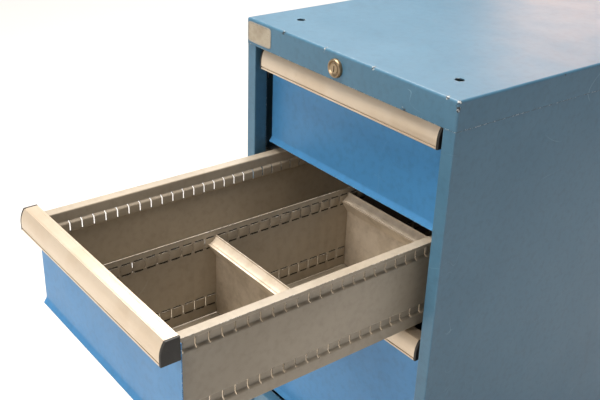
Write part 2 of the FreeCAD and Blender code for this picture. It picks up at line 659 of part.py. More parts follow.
def drawer(number):
    drawerTop, pitch = drawerSpans[number - 1]
    shift = drawerShifts[number - 1]
    flangeTop = f"({drawerTop} - #flangeDrop)"
    underside = f"({drawerTop} - {pitch} + #trayLift)"
    panelFront = f"({frontPlane} + ({shift}))"
    panelBack = f"({panelFront} + #frontSheet)"
    trayEnd = f"({panelBack} + {trayLength})"

    # tray: floor and two beaded walls folded from one sheet
    outerPath, innerPath = trayPath(flangeTop, underside)
    mirrored = [(f"-{across}", up) for across, up in reversed(outerPath)]
    mirroredInner = [(f"-{across}", up) for across, up in reversed(innerPath)]
    corners = outerPath + innerPath + mirroredInner + mirrored
    tray = extruded(f"tray_{number}_body", "xz", corners, panelBack, trayEnd)
    # Slots are drawn in the body's own frame, which starts at the tray's front.
    slotted(tray, f"tray_{number}", rows(flangeTop, underside), "#slotStart", "#housingWidth")
    keep(f"tray_{number}", tray)

    # end walls, folded at the foot
    wallTop = f"({flangeTop} - #traySheet)"
    for label, begin, direction in (("front", panelBack, 1), ("back", trayEnd, -1)):
        face = f"({begin})"
        inner = f"({begin} + {direction} * #traySheet)"
        foot = f"({begin} + {direction} * #wallFoot)"
        footTop = f"({underside} + 2 * #traySheet)"
        wallBottom = f"({underside} + #traySheet)"
        corners = [(face, wallBottom), (face, wallTop), (inner, wallTop), (inner, footTop)]
        corners += [(foot, footTop), (foot, wallBottom)]
        clear = f"({beadInner} - #sheetGap)"
        body = extruded(f"{label}_wall_{number}_body", "yz", corners, f"-{clear}", clear)
        keep(f"{label}_wall_{number}", body)

    # front panel with its flared lip
    reach = f"({half} - #frontInset)"
    panelTop = f"({drawerTop} - #flangeDrop)"
    lipBottom = f"({drawerTop} - {pitch} + #lipGap)"
    lipTop = f"({lipBottom} + #lipHeight)"
    lipFront = f"({panelFront} - #lipForward)"
    corners = [(panelFront, panelTop), (panelFront, lipTop), (lipFront, lipBottom)]
    corners += [(f"{lipFront} + #lipEdge", lipBottom)]
    corners += [(panelBack, f"{lipTop} - #lipInnerDrop"), (panelBack, panelTop)]
    panel = extruded(f"panel_{number}_body", "yz", corners, f"-{reach}", reach)
    keep(f"front_panel_{number}", panel)

    # handle extrusion and its two end caps
    nose = f"({panelFront} - #handleDepth)"
    bottom = f"({drawerTop} - #handleHeight)"
    ridge = f"({panelFront} - #handleFlat)"
    chin = f"({bottom} + #handleChin)"
    grooveLow = f"({bottom} + #grooveLift)"
    grooveHigh = f"({grooveLow} + #grooveHeight)"
    grooveBack = f"({nose} + #grooveDepth)"
    corners = [(nose, bottom), (nose, grooveLow), (grooveBack, grooveLow)]
    corners += [(grooveBack, grooveHigh), (nose, grooveHigh), (nose, chin)]
    corners += [(ridge, drawerTop), (panelFront, drawerTop), (panelFront, bottom)]
    span = f"({reach} - #handleCap)"
    bar = extruded(f"handle_{number}_body", "yz", corners, f"-{span}", span, {5: "#handleRound"})
    keep(f"handle_{number}", bar)
    corners = [(nose, bottom), (nose, chin), (ridge, drawerTop)]
    corners += [(panelFront, drawerTop), (panelFront, bottom)]
    caps = []
    for side, tag in ((-1, "left"), (1, "right")):
        low, high = sided(side, span, reach)
        name = f"handle_cap_{number}_{tag}"
        caps.append(extruded(name, "yz", corners, low, high, {1: "#handleRound"}))
    keep(f"handle_caps_{number}", grouped(f"handle_caps_{number}_pair", caps))

    # rollers: one pair under the flanges, one pair on the tray inside the rails
    frontHeight = f"({flangeTop} - #traySheet - #rollingClearance - #frontRollerRadius)"
    frontPlace = f"({front} + #frontRollerPlace)"
    rearHeight = f"({flangeTop} - #rearRollerDrop)"
    rearPlace = f"({trayEnd} - #rearRollerPlace)"
    frontInnerEnd = f"({wallOuter} + #rollerSideGap)"
    rearOuterEnd = f"({sideInner} - #railSheet - #rearRollerGap)"
    bore = "(#pinRadius + #fitClearance)"
    frontPair = []
    rearPair = []
    holders = []
    for side, tag in ((-1, "left"), (1, "right")):
        low, high = sided(side, frontInnerEnd, f"{frontInnerEnd} + #rollerWidth")
        name = f"front_roller_{number}_{tag}"
        start = (low, frontPlace, frontHeight)
        disc = rod(name, "#frontRollerRadius", "x", start, "#rollerWidth")
        hole = rod(f"{name}_bore", bore, "x", start, "#rollerWidth")
        frontPair.append(carved(f"{name}_ring", disc, [hole]))

        low, high = sided(side, f"{rearOuterEnd} - #rollerWidth", rearOuterEnd)
        name = f"rear_roller_{number}_{tag}"
        start = (low, rearPlace, rearHeight)
        disc = rod(name, "#rearRollerRadius", "x", start, "#rollerWidth")
        hole = rod(f"{name}_bore", bore, "x", start, "#rollerWidth")
        rearPair.append(carved(f"{name}_ring", disc, [hole]))

        low, high = sided(side, wallOuter, f"{wallOuter} + #holderSheet")
        backward = (f"{rearPlace} - #holderLength / 2", f"{rearPlace} + #holderLength / 2")
        upward = (f"{rearHeight} - #holderDrop", f"{flangeTop} - #traySheet")
        holder = slab(f"holder_{number}_{tag}", (low, high), backward, upward)
        low, high = sided(side, wallOuter, f"{rearOuterEnd} + 1")
        start = (low, rearPlace, rearHeight)
        stub = rod(f"holder_pin_{number}_{tag}", "#pinRadius", "x", start, f"{high} - ({low})")
        holders.append(joined(f"holder_{number}_{tag}_whole", [holder, stub]))
    keep(f"front_rollers_{number}", grouped(f"front_rollers_{number}_pair", frontPair))
    keep(f"rear_rollers_{number}", grouped(f"rear_rollers_{number}_pair", rearPair))
    keep(f"roller_brackets_{number}", grouped(f"roller_brackets_{number}_pair", holders))


def slideRails(side, label):
    """One C-shaped rail for each drawer, with the pin of its front roller."""
    rails = []
    for number, (drawerTop, pitch) in enumerate(drawerSpans, start=1):
        flangeTop = f"({drawerTop} - #flangeDrop)"
        middle = f"({flangeTop} - #rearRollerDrop)"
        room = "(#rearRollerRadius + #rollingClearance)"
        low = f"({middle} - {room})"
        high = f"({middle} + {room})"
        web = f"{side} * {sideInner}"
        webIn = f"{side} * ({sideInner} - #railSheet)"
        edge = f"{side} * ({sideInner} - #railReach)"
        corners = [(web, f"{low} - #railSheet"), (web, f"{high} + #railSheet")]
        corners += [(edge, f"{high} + #railSheet"), (edge, high), (webIn, high)]
        corners += [(webIn, low), (edge, low), (edge, f"{low} - #railSheet")]
        begin = f"({front} + #railFront)"
        end = f"({back} - #railRear)"
        name = f"rail_{label}_{number}"
        channel = extruded(name, "xz", corners, begin, end)
        height = f"({flangeTop} - #traySheet - #rollingClearance - #frontRollerRadius)"
        reach = sided(side, f"{wallOuter} + #rollerSideGap", f"{sideInner} - #railSheet / 2")
        start = (reach[0], f"{front} + #frontRollerPlace", height)
        stub = rod(f"{name}_pin", "#pinRadius", "x", start, f"{reach[1]} - ({reach[0]})")
        rails.append(joined(f"{name}_whole", [channel, stub]))
    keep(f"slide_rails_{label}", grouped(f"slide_rails_{label}_set", rails))


def dividers():
    """Slotted partition and two cross dividers in the middle drawer."""
    drawerTop, pitch = drawerSpans[1]
    flangeTop = f"({drawerTop} - #flangeDrop)"
    trayFloor = f"({drawerTop} - {pitch} + #trayLift + #traySheet)"
    panelBack = f"({frontPlane} + #frontSheet - #openDistance)"
    place = f"(-{beadInner} + #partitionPlace * #slotPitch)"
    begin = f"({panelBack} + #traySheet + #sheetGap)"
    end = f"({panelBack} + {trayLength} - #traySheet - #sheetGap)"
    bottom = f"({trayFloor} + #traySheet + #sheetGap)"
    sheetTop = f"({flangeTop} - #partitionDrop)"
    corners = [(f"{place} - #dividerSheet", begin), (place, begin)]
    corners += [(place, end), (f"{place} - #dividerSheet", end)]
    body = extruded("partition_body", "xy", corners, bottom, sheetTop)
    spans = [
        (f"{low} - {bottom}", f"{high} - {bottom}")
        for low, high in rows(flangeTop, f"({trayFloor} - #traySheet)")
    ]
    slotted(body, "partition", spans, f"({panelBack} + #slotStart)", "#housingWidth")
    keep("partition", body)

    for label, slot in (("front", "#dividerFrontPlace"), ("rear", "#dividerRearPlace")):
        plane = f"({panelBack} + #slotStart + {slot} * #slotPitch)"
        plateTop = f"({flangeTop} - #dividerDrop)"
        rear = f"({plane} + #dividerSheet / 2)"
        face = f"({plane} - #dividerSheet / 2)"
        # the sheet's top slopes forward into a label holder, then folds back to the plate
        holderFront = f"({face} - #holderDepth)"
        holderBack = f"({face} - 2 * #sheetGap)"
        edge = f"({plateTop} - #holderEdge)"
        foot = f"({plateTop} - #holderFoot)"
        corners = [(rear, bottom), (rear, plateTop), (face, plateTop)]
        corners += [(face, f"{plateTop} - 2 * #dividerSheet"), (holderFront, edge)]
        corners += [(holderFront, f"{edge} - #dividerSheet"), (holderBack, foot)]
        corners += [(holderBack, f"{foot} + 2 * #dividerSheet")]
        corners += [(f"{holderFront} + #holderFoldInset", f"{edge} - #holderFoldDrop")]
        corners += [(face, f"{plateTop} - #holderRoot"), (face, bottom)]
        low = f"({place} + #sheetGap)"
        high = f"({beadInner} - #sheetGap)"
        keep(f"divider_{label}", extruded(f"divider_{label}_body", "yz", corners, low, high))


casterSpots = [
    ("front_left", f"(-{half} + #casterInsetSide)", f"({front} + #casterInsetEnd)"),
    ("front_right", f"({half} - #casterInsetSide)", f"({front} + #casterInsetEnd)"),
    ("rear_left", f"(-{half} + #casterInsetSide)", f"({back} - #casterInsetEnd)"),
    ("rear_right", f"({half} - #casterInsetSide)", f"({back} - #casterInsetEnd)"),
]
pedalPivot = "(2 * #wheelRadius + #pedalPivotLift)"
legInner = "(#wheelWidth / 2 + #forkGap)"
legOuterFace = "(#wheelWidth / 2 + #forkGap + #forkSheet)"
plateBottom = f"({mountingFace} - #casterPlateSheet)"


def forkPiece(tag, across, back, trail, crownTop, pedal):
    """Two legs and a crown; a swivelling fork also has bores for its pins."""
    crownBottom = f"({crownTop} - #forkSheet)"
    axle = f"({back} + {trail})"
    heel = f"({axle} + #forkHeel)"
    toe = f"({back} - #forkToe)"
    legs = []
    for side in (-1, 1):
        low, high = sided(side, legInner, legOuterFace)
        corners = [(toe, crownTop), (heel, crownTop)]
        corners += [(heel, "2 * #wheelRadius - #forkHeelDrop")]
        corners += [(f"{axle} + #forkFoot", "#wheelRadius - #forkFoot")]
        corners += [(f"{axle} - #forkFoot", "#wheelRadius - #forkFoot")]
        corners += [(toe, f"{crownBottom} - #forkFoot")]
        name = f"leg_{tag}_{side + 1}"
        legs.append(extruded(name, "yz", corners, f"{across} + {low}", f"{across} + {high}"))
    bridge = slab(
        f"bridge_{tag}",
        (f"{across} - {legOuterFace}", f"{across} + {legOuterFace}"),
        (toe, f"{back} + #forkHeel"),
        (crownBottom, crownTop),
    )
    solids = legs + [bridge]
    bores = [
        rod(
            f"axle_bore_{tag}",
            "#axleRadius",
            "x",
            (f"{across} - {legOuterFace} - 1", axle, "#wheelRadius"),
            f"2 * {legOuterFace} + 2",
        )
    ]
    if pedal:
        crownStart = (across, back, crownBottom)
        kingStart = (across, back, f"{crownBottom} - 1")
        kingBore = "#kingpinRadius + #fitClearance"
        pedalStart = (f"{across} - {legOuterFace} - 1", f"{axle} + #pedalPivotBack", pedalPivot)
        pedalBore = "#pinRadius + #fitClearance"
        legSpan = f"2 * {legOuterFace} + 2"
        solids.append(rod(f"crown_{tag}", "#crownRadius", "z", crownStart, "#forkSheet"))
        bores.append(rod(f"king_bore_{tag}", kingBore, "z", kingStart, "#forkSheet + 2"))
        bores.append(rod(f"pedal_bore_{tag}", pedalBore, "x", pedalStart, legSpan))
    keep(f"fork_{tag}", carved(f"fork_{tag}_bored", joined(f"fork_{tag}_blank", solids), bores))
    return axle


def wheelPiece(tag, across, axle):
    """A wheel with a crowned rim, a thinner web and a hub."""
    body = doc.addObject("PartDesign::Body", f"wheel_{tag}_body")
    sketch = drawnOn(body, "xy", f"wheel_{tag}_section")
    edge = "#wheelWidth / 2"
    web = f"({edge} - #webInset)"
    rim = "(#wheelRadius - #treadThickness)"
    bore = "(#axleRadius + #fitClearance)"
    corners = [(f"-{edge}", bore), (edge, bore), (edge, "#hubRadius"), (web, "#hubRadius")]
    corners += [(web, rim), (edge, rim), (edge, "#wheelRadius - #wheelEdge")]
    corners += [(f"{edge} - #wheelEdge", "#wheelRadius"), (f"-({edge} - #wheelEdge)", "#wheelRadius")]
    corners += [(f"-{edge}", "#wheelRadius - #wheelEdge"), (f"-{edge}", rim), (f"-{web}", rim)]
    corners += [(f"-{web}", "#hubRadius"), (f"-{edge}", "#hubRadius")]
    outline(sketch, corners)
    turned = body.newObject("PartDesign::Revolution", f"wheel_{tag}_turned")
    turned.Profile = sketch
    turned.ReferenceAxis = (sketch, ["H_Axis"])
    turned.Angle = 360
    body.Tip = turned
    bind(body, "Placement.Base.x", across)
    bind(body, "Placement.Base.y", axle)
    bind(body, "Placement.Base.z", "#wheelRadius")
    keep(f"wheel_{tag}", body)


def axleBolt(tag, across, axle):
    """A bolt through the fork with a head and a nut outside the legs."""
    headPlace = f"({across} - {legOuterFace} - #axleRadius)"
    start = (headPlace, axle, "#wheelRadius")
    shank = rod(f"axle_{tag}_shank", "#axleRadius", "x", start, f"2 * ({legOuterFace} + #axleRadius)")
    solids = [shank]
    places = (headPlace, f"{across} + {legOuterFace}")
    for number, place in enumerate(places):
        head = doc.addObject("Part::Prism", f"axle_{tag}_head_{number}")
        head.Polygon = hexagonSides
        bind(head, "Circumradius", "#axleRadius * #axleHeadRatio")
        bind(head, "Height", "#axleRadius")
        head.Placement = FreeCAD.Placement(Vector(), turns["x"])
        for axis, text in zip("xyz", (place, axle, "#wheelRadius")):
            bind(head, f"Placement.Base.{axis}", text)
        solids.append(head)
    return joined(f"axle_{tag}_whole", solids)


# The pedal's side outline: how far each corner is behind its pin or its tip, and above the pin.
pedalShape = [
    ("pivot", -6, -2),
    ("pivot", -2, -6),
    ("pivot", 8, -6),
    ("tip", -2, -19),
    ("tip", 3, -15),
    ("pivot", 10, 3),
    ("pivot", 3, 5),
    ("pivot", -6, 3),
]


def brakePedal(tag, across, axle):
    """A pedal on a pin between the fork legs, its pad just over the tread."""
    pivot = f"({axle} + #pedalPivotBack)"
    height = pedalPivot
    tip = f"({pivot} + #pedalReach)"
    ends = {"pivot": pivot, "tip": tip}
    corners = []
    for end, back, lift in pedalShape:
        corners.append((f"{ends[end]} + ({back})", f"{height} + ({lift})"))
    reach = f"({legInner} - 2 * #rollingClearance)"
    sides = (f"{across} - {reach}", f"{across} + {reach}")
    blade = extruded(f"pedal_{tag}_blade", "yz", corners, *sides)
    start = (f"{across} - {legOuterFace} - 1", pivot, height)
    stub = rod(f"pedal_{tag}_pin", "#pinRadius", "x", start, f"2 * {legOuterFace} + 2")
    keep(f"brake_pedal_{tag}", joined(f"pedal_{tag}_whole", [blade, stub]))


def runningGear():
    beams = []
    for label, middle in (("front", casterSpots[0][2]), ("rear", casterSpots[2][2])):
        low = f"({middle} - #beamWidth / 2)"
        high = f"({middle} + #beamWidth / 2)"
        corners = [(low, mountingFace), (high, mountingFace), (high, floor)]
        corners += [(f"{high} - #beamSheet", floor)]
        corners += [(f"{high} - #beamSheet", f"{mountingFace} + #beamSheet")]
        corners += [(f"{low} + #beamSheet", f"{mountingFace} + #beamSheet")]
        corners += [(f"{low} + #beamSheet", floor), (low, floor)]
        reach = f"({sideOuter} - #beamEndGap)"
        beams.append(extruded(f"beam_{label}", "yz", corners, f"-{reach}", reach))
    keep("caster_beams", grouped("beam_pair", beams))

    plates = []
    bolts = []
    rearAxles = []
    for tag, across, back in casterSpots:
        swivels = tag.startswith("front")
        plate = slab(
            f"plate_{tag}",
            (f"{across} - #casterPlateLength / 2", f"{across} + #casterPlateLength / 2"),
            (f"{back} - #casterPlateWidth / 2", f"{back} + #casterPlateWidth / 2"),
            (plateBottom, mountingFace),
        )
        drills = []
        for right in (-1, 1):
            for rear in (-1, 1):
                x = f"({across} + {right} * #casterBoltAcross / 2)"
                y = f"({back} + {rear} * #casterBoltBack / 2)"
                name = f"bolt_{tag}_{right + 1}_{rear + 1}"
                start = (x, y, plateBottom)
                size = ("#casterBoltRadius", "z", start, "#casterPlateSheet")
                drills.append(rod(f"{name}_hole", *size))
                shank = rod(f"{name}_shank", *size)
                headStart = (x, y, f"{plateBottom} - #boltHeadHeight")
                headRadius = "#casterBoltRadius * #boltHeadRatio"
                head = rod(f"{name}_head", headRadius, "z", headStart, "#boltHeadHeight")
                bolts.append(joined(f"{name}_whole", [shank, head]))
        plate = carved(f"plate_{tag}_drilled", plate, drills)
        crownTop = plateBottom
        trail = "0"
        if swivels:
            crownTop = f"({plateBottom} - #bearingHeight - #bearingGap)"
            trail = "#casterTrail"
            cupStart = (across, back, f"{plateBottom} - #bearingHeight")
            cup = rod(f"cup_{tag}", "#crownRadius - 1", "z", cupStart, "#bearingHeight")
            pinLow = f"({crownTop} - #forkSheet - #bearingGap - #kingpinHead)"
            pinStart = (across, back, pinLow)
            pinLength = f"{plateBottom} - {pinLow}"
            king = rod(f"king_{tag}", "#kingpinRadius", "z", pinStart, pinLength)
            headRadius = "#kingpinRadius + #kingpinHead"
            head = rod(f"king_head_{tag}", headRadius, "z", pinStart, "#kingpinHead")
            plate = joined(f"plate_{tag}_whole", [plate, cup, king, head])
        plates.append(plate)
        axle = forkPiece(tag, across, back, trail, crownTop, swivels)
        wheelPiece(tag, across, axle)
        bolt = axleBolt(tag, across, axle)
        if swivels:
            keep(f"axle_bolt_{tag}", bolt)
            brakePedal(tag, across, axle)
        else:
            rearAxles.append(bolt)
    keep("axle_bolts_rear", grouped("axle_bolts_rear_pair", rearAxles))
    keep("caster_plates", grouped("plate_set", plates))
    keep("caster_bolts", grouped("bolt_set", bolts))


housingShell()
lock()
for number in (1, 2, 3):
    drawer(number)
slideRails(-1, "left")
slideRails(1, "right")
dividers()
runningGear()
doc.recompute()

problems = []
for item in doc.Objects:
    if "Invalid" in item.State or "Error" in item.State:
        problems.append(f"{item.Name}: {item.State}")
for label, item in pieces.items():
    shape = item.Shape
    if shape.isNull() or not shape.isValid() or not shape.Solids:
        problems.append(f"{label}: no valid solid")
if problems:
    raise SystemExit("\n".join(problems))

os.makedirs("parts", exist_ok=True)
for label, item in pieces.items():
    item.Shape.exportStep(f"parts/{label}.step")
print(len(pieces), "sub-parts written")
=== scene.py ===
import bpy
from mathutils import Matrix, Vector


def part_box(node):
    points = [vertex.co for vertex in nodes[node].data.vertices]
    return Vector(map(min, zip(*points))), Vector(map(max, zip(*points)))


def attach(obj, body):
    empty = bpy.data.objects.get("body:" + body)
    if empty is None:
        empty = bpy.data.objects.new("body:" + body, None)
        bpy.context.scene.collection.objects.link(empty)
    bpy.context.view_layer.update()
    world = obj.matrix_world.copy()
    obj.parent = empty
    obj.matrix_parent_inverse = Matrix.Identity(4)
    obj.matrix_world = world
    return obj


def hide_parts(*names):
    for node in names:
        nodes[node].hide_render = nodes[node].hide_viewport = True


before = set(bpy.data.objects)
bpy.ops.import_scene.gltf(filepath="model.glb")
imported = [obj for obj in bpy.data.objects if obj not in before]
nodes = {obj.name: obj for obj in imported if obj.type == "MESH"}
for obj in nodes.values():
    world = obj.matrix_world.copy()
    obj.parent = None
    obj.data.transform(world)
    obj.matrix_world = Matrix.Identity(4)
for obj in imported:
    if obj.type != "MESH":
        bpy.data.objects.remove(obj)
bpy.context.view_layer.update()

import math

import bmesh
import bpy
import numpy as np

# A worn steel drawer cabinet on casters, its middle drawer pulled out.
# Lengths in the dictionaries are millimetres; meshes are made in metres.

scene = bpy.context.scene
mm = 0.001


def box(node):
    low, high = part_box(node)
    return np.array(low) / mm, np.array(high) / mm


def rounded(corners, reach, steps=5):
    # each inner corner becomes a curve that starts and ends "reach" before and after it:
    # (1-t)^2 A + 2t(1-t) C + t^2 B
    corners = np.array(corners, float)
    reach = np.broadcast_to(reach, len(corners))
    t = np.linspace(0, 1, steps)[:, None]
    runs = [corners[:1]]
    for before, corner, after, size in zip(corners, corners[1:], corners[2:], reach[1:]):
        start = corner + (before - corner) / np.linalg.norm(before - corner) * size
        end = corner + (after - corner) / np.linalg.norm(after - corner) * size
        runs.append((1 - t) ** 2 * start + 2 * t * (1 - t) * corner + t ** 2 * end)
    runs.append(corners[-1:])
    return np.vstack(runs)


def gridQuads(rows, columns, loop=False):
    # point (i, j) has number i * columns + j; a loop joins the last column to the first
    i = np.arange(rows - 1)[:, None]
    j = np.arange(columns if loop else columns - 1)[None, :]
    k = (j + 1) % columns
    quads = np.stack([i * columns + j, i * columns + k, (i + 1) * columns + k, (i + 1) * columns + j], -1)
    return quads.reshape(-1, 4)


def addPiece(name, points, faces, finish, body, stands=(), crease=32, closed=True):
    # points in millimetres
    mesh = bpy.data.meshes.new(name)
    mesh.from_pydata((np.asarray(points, float) * mm).tolist(), [], faces)
    mesh.materials.append(finish)
    piece = bpy.data.objects.new(name, mesh)
    scene.collection.objects.link(piece)
    shell = bmesh.new()
    shell.from_mesh(mesh)
    bmesh.ops.remove_doubles(shell, verts=shell.verts, dist=1e-6)
    if closed:
        bmesh.ops.recalc_face_normals(shell, faces=shell.faces)
    shell.to_mesh(mesh)
    shell.free()
    mesh.polygons.foreach_set("use_smooth", np.ones(len(mesh.polygons), bool))
    mesh.set_sharp_from_angle(angle=math.radians(crease))
    if stands:
        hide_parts(*stands)
    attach(piece, body)
    return piece


def carriedX(outline, stations, insets=None):
    # a closed outline (y, z) carried along x; insets shrink it towards its middle at each station
    outline = np.array(outline, float)
    stations = np.array(stations, float)
    insets = np.zeros(len(stations)) if insets is None else np.array(insets, float)
    middle = (outline.min(0) + outline.max(0)) / 2
    halfSize = (outline.max(0) - outline.min(0)) / 2
    scale = 1 - insets[:, None, None] / halfSize
    flat = middle + (outline - middle) * scale
    across = np.broadcast_to(stations[:, None, None], (len(stations), len(outline), 1))
    points = np.concatenate([across, flat], -1).reshape(-1, 3)
    faces = gridQuads(len(stations), len(outline), loop=True).tolist()
    last = (len(stations) - 1) * len(outline)
    faces.append(list(range(len(outline)))[::-1])
    faces.append(list(range(last, last + len(outline))))
    return points, faces


def turned(profile, centre, axis, steps=64):
    # a closed profile (radius, distance along the axis) turned about the axis
    profile = np.array(profile, float)
    angle = np.linspace(0, 2 * math.pi, steps, endpoint=False)[:, None]
    radius = profile[:, 0][None, :]
    along = np.broadcast_to(profile[:, 1][None, :], (steps, len(profile)))
    sideways = [radius * np.cos(angle), radius * np.sin(angle)]
    order = {"x": (along, *sideways), "y": (sideways[0], along, sideways[1])}[axis]
    points = np.stack(order, -1).reshape(-1, 3) + np.array(centre)
    rows = np.arange(steps)[:, None]
    cols = np.arange(len(profile))[None, :]
    nextRow = (rows + 1) % steps
    nextCol = (cols + 1) % len(profile)
    count = len(profile)
    quads = [rows * count + cols, rows * count + nextCol, nextRow * count + nextCol, nextRow * count + cols]
    return points, np.stack(quads, -1).reshape(-1, 4).tolist()


def bent(path, stations, holes, lift=None):
    # a sheet: path points (x, z) carried along y; holes picks the faces left out, lift moves points
    path = np.array(path, float)
    stations = np.array(stations, float)
    u = np.broadcast_to(path[None, :, :], (len(stations), len(path), 2))
    v = np.broadcast_to(stations[:, None, None], (len(stations), len(path), 1))
    points = np.concatenate((u[..., :1], v, u[..., 1:]), -1)
    if lift is not None:
        points = lift(points)
    points = points.reshape(-1, 3)
    quads = gridQuads(len(stations), len(path))
    middle = points[quads].mean(1)
    return points, quads[~holes(middle)].tolist()


def sheetOutline(path, thickness):
    # the two faces of a sheet: the path moved half a thickness along its normals, out and back
    path = np.array(path, float)
    run = np.gradient(path, axis=0)
    run /= np.linalg.norm(run, axis=1)[:, None]
    normal = np.stack([run[:, 1], -run[:, 0]], -1) * thickness / 2
    return np.vstack([path + normal, (path - normal)[::-1]])


def thicken(piece, thickness, crease=35):
    # the sheet gets its thickness, then only true folds and cut edges stay sharp
    solid = piece.modifiers.new("sheet", "SOLIDIFY")
    solid.thickness = thickness * mm
    solid.offset = 0
    graph = bpy.context.evaluated_depsgraph_get()
    mesh = bpy.data.meshes.new_from_object(piece.evaluated_get(graph))
    piece.modifiers.clear()
    piece.data = mesh
    mesh.polygons.foreach_set("use_smooth", np.ones(len(mesh.polygons), bool))
    mesh.set_sharp_from_angle(angle=math.radians(crease))


def soften(piece, width, segments=2, angle=40):
    edge = piece.modifiers.new("edge", "BEVEL")
    edge.width = width * mm
    edge.segments = segments
    edge.limit_method = "ANGLE"
    edge.angle_limit = math.radians(angle)
    edge.harden_normals = True


def linear(code):
    # sRGB hex to the linear light that the shaders use
    parts = [int(code[start:start + 2], 16) / 255 for start in (1, 3, 5)]
    return [part / 12.92 if part < 0.04045 else ((part + 0.055) / 1.055) ** 2.4 for part in parts] + [1.0]


def addNode(tree, kind, settings=None, links=None, out=0):
    # settings are the node's own or its inputs' values; "out" picks the output that comes back
    node = tree.nodes.new("ShaderNode" + kind)
    for key, setting in (settings or {}).items():
        if isinstance(key, str) and hasattr(node, key):
            setattr(node, key, setting)
        else:
            node.inputs[key].default_value = setting
    for key, source in (links or {}).items():
        tree.links.new(source, node.inputs[key])
    return node.outputs[out]


# settings that many nodes share
eased = {"interpolation_type": "SMOOTHSTEP"}
tint = {"data_type": "RGBA"}
tintOut = 2
times = {"operation": "MULTIPLY"}
plus = {"operation": "ADD"}
minus = {"operation": "SUBTRACT"}
larger = {"operation": "MAXIMUM"}


def startFinish(name):
    finish = bpy.data.materials.new(name)
    finish.use_nodes = True
    return finish, finish.node_tree


def finishWith(finish, sockets):
    # a plain number or colour is set on the shader, anything else is linked to it
    tree = finish.node_tree
    shader = tree.nodes["Principled BSDF"]
    for name, source in sockets.items():
        if isinstance(source, (float, list)):
            shader.inputs[name].default_value = source
        else:
            tree.links.new(source, shader.inputs[name])
    return finish


def blotches(tree, place, size, stretch=(1, 1, 1), detail=3.0, shift=0.0):
    # a pattern whose blobs are about "size" millimetres wide, longer along an axis with a small stretch
    offset = (shift, shift * 0.7, shift * 0.3)
    moved = addNode(tree, "Mapping", {"Location": offset, "Scale": stretch}, {"Vector": place})
    settings = {"Scale": 1000 / size, "Detail": detail, "Roughness": 0.55}
    return addNode(tree, "TexNoise", settings, {"Vector": moved})


def patches(tree, place, size, fade, amount=(0.0, 1.0), **pattern):
    # blotches that go from the first amount to the second between the two levels of fade
    settings = {**eased, 1: fade[0], 2: fade[1], 3: amount[0], 4: amount[1]}
    return addNode(tree, "MapRange", settings, {0: blotches(tree, place, size, **pattern)})


def edgeWear(tree, radius):
    # 0 on flats, up to 1 where two faces meet within "radius" millimetres
    flat, sharp = 0.995, 0.80
    soft = addNode(tree, "Bevel", {"samples": 4, "Radius": radius * mm})
    hard = addNode(tree, "NewGeometry", out="Normal")
    alike = addNode(tree, "VectorMath", {"operation": "DOT_PRODUCT"}, {0: soft, 1: hard}, "Value")
    return addNode(tree, "MapRange", {**eased, 1: flat, 2: sharp, 3: 0.0, 4: 1.0}, {0: alike})


def scratches(tree, place, size, stretch, width, share, shift):
    # thin winding lines where a stretched pattern crosses its middle, kept only in patches
    field = blotches(tree, place, size, stretch, 1.0, shift)
    fromMiddle = addNode(tree, "Math", {**minus, 1: 0.5}, {0: field})
    away = addNode(tree, "Math", {"operation": "ABSOLUTE"}, {0: fromMiddle})
    line = addNode(tree, "MapRange", {**eased, 1: width, 2: 0.0, 3: 0.0, 4: 1.0}, {0: away})
    kept = patches(tree, place, size * 1.7, (share, share + 0.06), detail=2.0, shift=shift + 3.1)
    return addNode(tree, "Math", times, {0: line, 1: kept})


# Powder coat: baked polyester over bent sheet steel, which gives the eye an even colour with a
# faint orange peel, a soft gloss that shop dirt dulls in clouds, hairline scratches, and chips
# along the folds where dark primer and a little bright steel show.
# Each chip is the place of its middle and its radius.
housingCoat = {
    "name": "powderCoatGreyBlue", "colour": "#487089", "cloud": "#446C85", "dirt": "#304657",
    "scratch": "#8FB0C4", "chip": "#2B343B", "steel": "#B9BEC0", "roughness": 0.36, "wear": 0.60,
    "chips": [(204.5, -362.3, 854, 4.0), (187, -362.4, 854.6, 3.2), (63, -362.5, 854.6, 2.8),
              (205.4, -362.4, 847, 3.0), (-120, -362.4, 854.6, 2.2), (205.4, -180, 854.6, 2.4),
              (120, -362.4, 818, 2.4), (-30, -362.4, 854.6, 2.2)],
}
frontCoat = {
    "name": "powderCoatBlue", "colour": "#4384B9", "cloud": "#3F7EB1", "dirt": "#2F5470",
    "scratch": "#9DB9CE", "chip": "#27313A", "steel": "#AEB6BA", "roughness": 0.40, "wear": 0.62,
    "chips": [],
}
trayCoat = {
    "name": "powderCoatGreyBeige", "colour": "#A49A8A", "cloud": "#9B9181", "dirt": "#6F6658",
    "scratch": "#B5AFA3", "chip": "#4A4742", "steel": "#C9C6BF", "roughness": 0.42, "wear": 0.66,
    "chips": [],
}
paintPatterns = {
    "cloud": {"size": 140, "fade": (0.35, 0.65), "detail": 4.0},
    "mottle": {"size": 9, "fade": (0.42, 0.74), "amount": (0.0, 0.20), "detail": 5.0, "shift": 2.0},
    "smear": {"size": 60, "fade": (0.58, 0.82), "amount": (0.0, 0.20), "stretch": (1, 1, 0.35),
              "detail": 6.0, "shift": 5.0},
    "bare": {"size": 3.0, "fade": (0.52, 0.60), "detail": 2.0, "shift": 4.0},
    "dull": {"size": 45, "fade": (0.35, 0.70), "detail": 5.0, "shift": 6.0},
    "crumbs": {"size": 5.5, "detail": 6.0, "shift": 9.0},
    "peel": {"size": 2.4, "detail": 1.0},
    "alongScratch": {"size": 70, "stretch": (1.0, 0.25, 0.5), "width": 0.0016, "share": 0.60, "shift": 1.3},
    "acrossScratch": {"size": 46, "stretch": (0.3, 1.0, 1.0), "width": 0.0018, "share": 0.62, "shift": 7.9},
}
